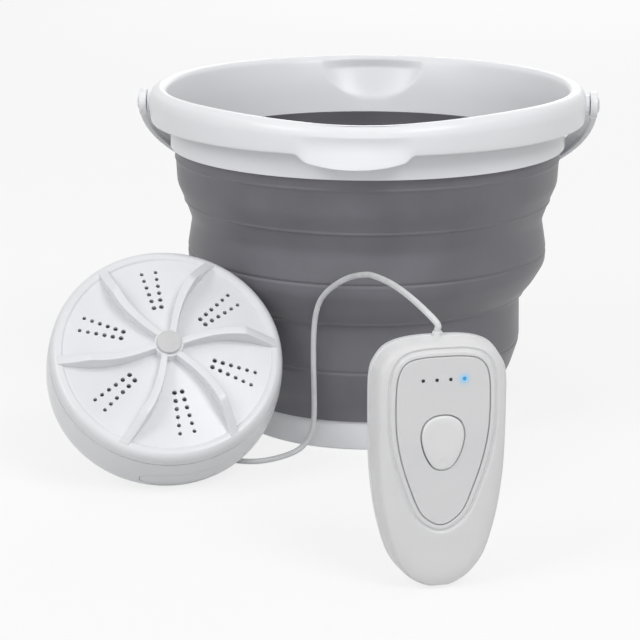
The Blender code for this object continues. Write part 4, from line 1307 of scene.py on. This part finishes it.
def front_cap():
    """The front half: up its outside, over the groove, into the panel's pocket and the
    button's opening, and back down its inside."""
    edge = [(shut_gap / 2, shut_gap), (shut_gap, 0.025 * front_depth)]
    edge += [(depth * front_depth, into * front_depth) for depth, into in front_round]
    sections = stacked(body_line, edge)
    outer = inset(body_line, pillow_start)
    inner = inset(panel_line, -(groove_reach + groove_half))
    pillow_steps, groove_steps, flat_steps = 12, 10, 5
    for step in range(pillow_steps):
        sections.append(pillowed(between(outer, inner, step / pillow_steps)))
    for step in range(groove_steps + 1):
        off = 2 * step / groove_steps - 1
        dip = groove_depth * (1 + math.cos(math.pi * off)) / 2
        sections.append(pillowed(inset(panel_line, off * groove_half - groove_reach), dip))
    outer = inset(panel_line, groove_half - groove_reach)
    inner = inset(panel_line, -1.5 * line_gap)
    for step in range(1, flat_steps + 1):
        sections.append(pillowed(between(outer, inner, step / flat_steps)))
    floor_level = front_depth - panel_thickness - line_gap
    roof = floor_level - shell_wall
    pocket = [(front_depth - line_gap / 2, -line_gap), (floor_level, -line_gap)]
    sections += stacked(panel_line, pocket)
    sections += stacked(button_line, [(floor_level, -shut_gap), (roof, -shut_gap)])
    inside = [(roof, 3.9 * shell_wall), (0.75 * roof, 2.2 * shell_wall)]
    inside += [(0.5 * front_depth, 1.3 * shell_wall), (shut_gap / 2, shell_wall)]
    sections += stacked(body_line, inside)
    sections.append(sections[0])
    return lofted(sections, closed=True)


front_bm, front_look = front_cap(), satin_abs()
front_half = add_piece("front_half", front_bm, front_look, "base", handset)
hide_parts("front_shell")


# Face panel
# A thin panel of the same pale ABS, pressed flush into its pocket. The light of the fourth
# lamp soaks a little way into it and shows blue round it.
lamp_height = 0.851 * handset_height
lamp_pitch = 0.1015 * handset_width
lamp_radius = 0.0008
lamp_count, lamp_steps = 4, 24


def lamp_places():
    """Where the lamps stand across the panel."""
    middle = (lamp_count - 1) / 2
    return [((number - middle) * lamp_pitch, lamp_height) for number in range(lamp_count)]


lit_lamp = handset @ Vector((*lamp_places()[-1], front_depth))


def light_round_lamp(tree, place, reach, falloff):
    """One at the lit lamp's middle, falling to zero at its reach."""
    centring = {"Location": -lit_lamp / reach, "Scale": (1 / reach,) * 3}
    centred = add_node(tree, "ShaderNodeMapping", centring, {"Vector": place})
    centred = {"Vector": centred.outputs["Vector"]}
    kind = {"gradient_type": falloff}
    return add_node(tree, "ShaderNodeTexGradient", kind, centred).outputs["Fac"]


def lit_panel_abs():
    """The satin ABS of the shell, slightly finer, glowing blue within a few millimetres of
    the lit lamp."""
    halo_reach = 0.0048
    halo_strength = 0.3
    look, tree, shader, place = mottled_look(
        "lit_panel_abs", ("#dedee0", "#e1e1e2"), patch_size=0.03, gloss=(0.36, 0.44),
        grain_size=0.0006, grain_ratio=18, ior=1.54,
    )
    halo = light_round_lamp(tree, place, halo_reach, "QUADRATIC_SPHERE")
    dimmed = {"operation": "MULTIPLY", 1: halo_strength}
    strength = add_node(tree, "ShaderNodeMath", dimmed, {0: halo})
    tones = shader.inputs["Base Color"].links[0].from_socket
    blued = {"data_type": "RGBA", 7: linear("#55c0ee")}
    tinted = add_node(tree, "ShaderNodeMix", blued, {0: halo, 6: tones})
    tree.links.new(shader.inputs["Base Color"], tinted.outputs[2])
    shader.inputs["Emission Color"].default_value = linear("#2cb0ea")
    tree.links.new(shader.inputs["Emission Strength"], strength.outputs[0])
    return look


def lamp_wells():
    """Cutters for the round holes that the lamps shine through."""
    cutters = bmesh.new()
    for x, y in lamp_places():
        place = Matrix.Translation((x, y, front_depth))
        add_peg(cutters, lamp_radius + shut_gap / 3, 4 * panel_thickness, place, lamp_steps)
    return cutters


def panel_plate():
    """The panel: a plate with a round edge and an opening for the button."""
    low = front_depth - panel_thickness
    edge = line_gap / 2
    top_outer, top_inner = inset(panel_line, edge), inset(button_line, -line_gap - edge)
    top_steps = 6
    sections = stacked(panel_line, [(low, edge), (low + edge, 0), (front_depth - edge, 0)])
    for step in range(top_steps + 1):
        sections.append(level(between(top_outer, top_inner, step / top_steps), front_depth))
    sections += stacked(button_line, [(front_depth - edge, -line_gap), (low, -line_gap)])
    sections.append(sections[0])
    return lofted(sections, closed=True)


panel_bm = carve(panel_plate(), lamp_wells())
panel_look = lit_panel_abs()
let_in_panel = add_piece(
    "let_in_panel", panel_bm, panel_look, "base", handset
)
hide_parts("face_panel")


# Power button
# An egg-shaped button of glossier pale ABS that stands just proud of the panel and presses a
# switch behind it.
def button_abs():
    """Moulded ABS from a smoother tool: pale grey with a clearer shine than the shell."""
    return mottled_look(
        "button_abs", ("#e7e7e8", "#ebebec"), patch_size=0.015, gloss=(0.3, 0.36),
        grain_size=0.0007, grain_ratio=24, ior=1.54,
    )[0]


button_rise = 0.0012
button_round = 0.0026
# The crown: shares of the rise, and the inset in roundings.
crown_shares = [
    (0.1, 0), (0.4, 0.04), (0.62, 0.16), (0.78, 0.4), (0.88, 0.9), (0.96, 1.6), (1, 2.3),
]


def button_crown():
    """The button: straight sides, a rounded edge and a gently crowned top."""
    shape = [(0.5 * front_depth, 0)]
    shape += [
        (front_depth + rise * button_rise, into * button_round) for rise, into in crown_shares
    ]
    return lofted(stacked(button_line, shape))


button_bm, button_look = button_crown(), button_abs()
egg_button = add_piece(
    "egg_button", button_bm, button_look, "button", handset
)
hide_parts("power_button")


# Indicator lamps
# Four light pipes of clear polycarbonate behind the panel. Three are dark, and the fourth is
# lit blue.
polycarbonate_ior = 1.58


def dark_polycarbonate():
    """Polished polycarbonate over an unlit lamp: almost black, with a hard shine."""
    patch_size = 0.001
    clear_gloss = (0.08, 0.16)
    look, tree, shader, place = new_look("dark_polycarbonate", polycarbonate_ior)
    patches = drifting_colour(tree, shader, place, ("#111213", "#1c1d1f"), patch_size)
    drifting_gloss(tree, shader, patches, *clear_gloss)
    return look


def lit_polycarbonate():
    """Polished polycarbonate over a blue lamp: bright blue, paler in the middle."""
    glow_strength = 0.4
    clear_gloss = 0.15
    look, tree, shader, place = new_look("lit_polycarbonate", polycarbonate_ior)
    middle = light_round_lamp(tree, place, lamp_radius, "SPHERICAL")
    blues = {"data_type": "RGBA", 6: linear("#1379b4"), 7: linear("#2a9fdc")}
    tones = add_node(tree, "ShaderNodeMix", blues, {0: middle})
    tree.links.new(shader.inputs["Base Color"], tones.outputs[2])
    tree.links.new(shader.inputs["Emission Color"], tones.outputs[2])
    shader.inputs["Emission Strength"].default_value = glow_strength
    shader.inputs["Roughness"].default_value = clear_gloss
    return look


dress(dark_polycarbonate(), "lens_1", "lens_2", "lens_3")
dress(lit_polycarbonate(), "lens_4")


# Inside the handset
# A green circuit board carries the push switch under the button and the charging socket at
# the bottom, and a flat cell in blue film lies behind it.
def glass_epoxy_board():
    """Glass-epoxy laminate under green solder mask, with the tracks showing through paler."""
    track_pitch = 0.0012
    mask_gloss = 0.35
    look, tree, shader, place = new_look("glass_epoxy_board")
    greens = {"Color1": linear("#14532d"), "Color2": linear("#17602f")}
    greens.update({"Mortar": linear("#3d8a55"), "Mortar Size": 0.12, "Scale": 1 / track_pitch})
    tracks = add_node(tree, "ShaderNodeTexBrick", greens, {"Vector": place})
    tree.links.new(shader.inputs["Base Color"], tracks.outputs["Color"])
    shader.inputs["Roughness"].default_value = mask_gloss
    fine_grain(tree, shader, place, track_pitch, track_pitch / 30)
    return look


def shrink_film():
    """Heat-shrunk blue film round a cell: glossy, with fine wrinkles."""
    return mottled_look(
        "shrink_film", ("#2b4f8c", "#35609f"), patch_size=0.003, gloss=(0.15, 0.3),
        grain_size=0.003, grain_ratio=20, strength=0.5,
    )[0]


dress(glass_epoxy_board(), "circuit_board")
dress(shrink_film(), "battery")
dress(black_rubber, "tact_switch")
dress(steel, "charge_socket")


# Handset's cord gland
# A short sleeve of the same soft PVC, moulded on to the cord where it leaves the handset's top.
top_gland_length = 1.6 * cord_radius
handset_top = 0.995 * handset_height
sleeve_place = handset @ Matrix.Translation((0, handset_top, 0))
sleeve_place @= Matrix.Rotation(math.radians(-90), 4, "X")
sleeve_bm = gland_solid(top_gland_length, shell_wall, 1.6 * cord_radius)
top_sleeve = add_piece("top_sleeve", sleeve_bm, sheath, "base", sleeve_place)
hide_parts("handset_gland")
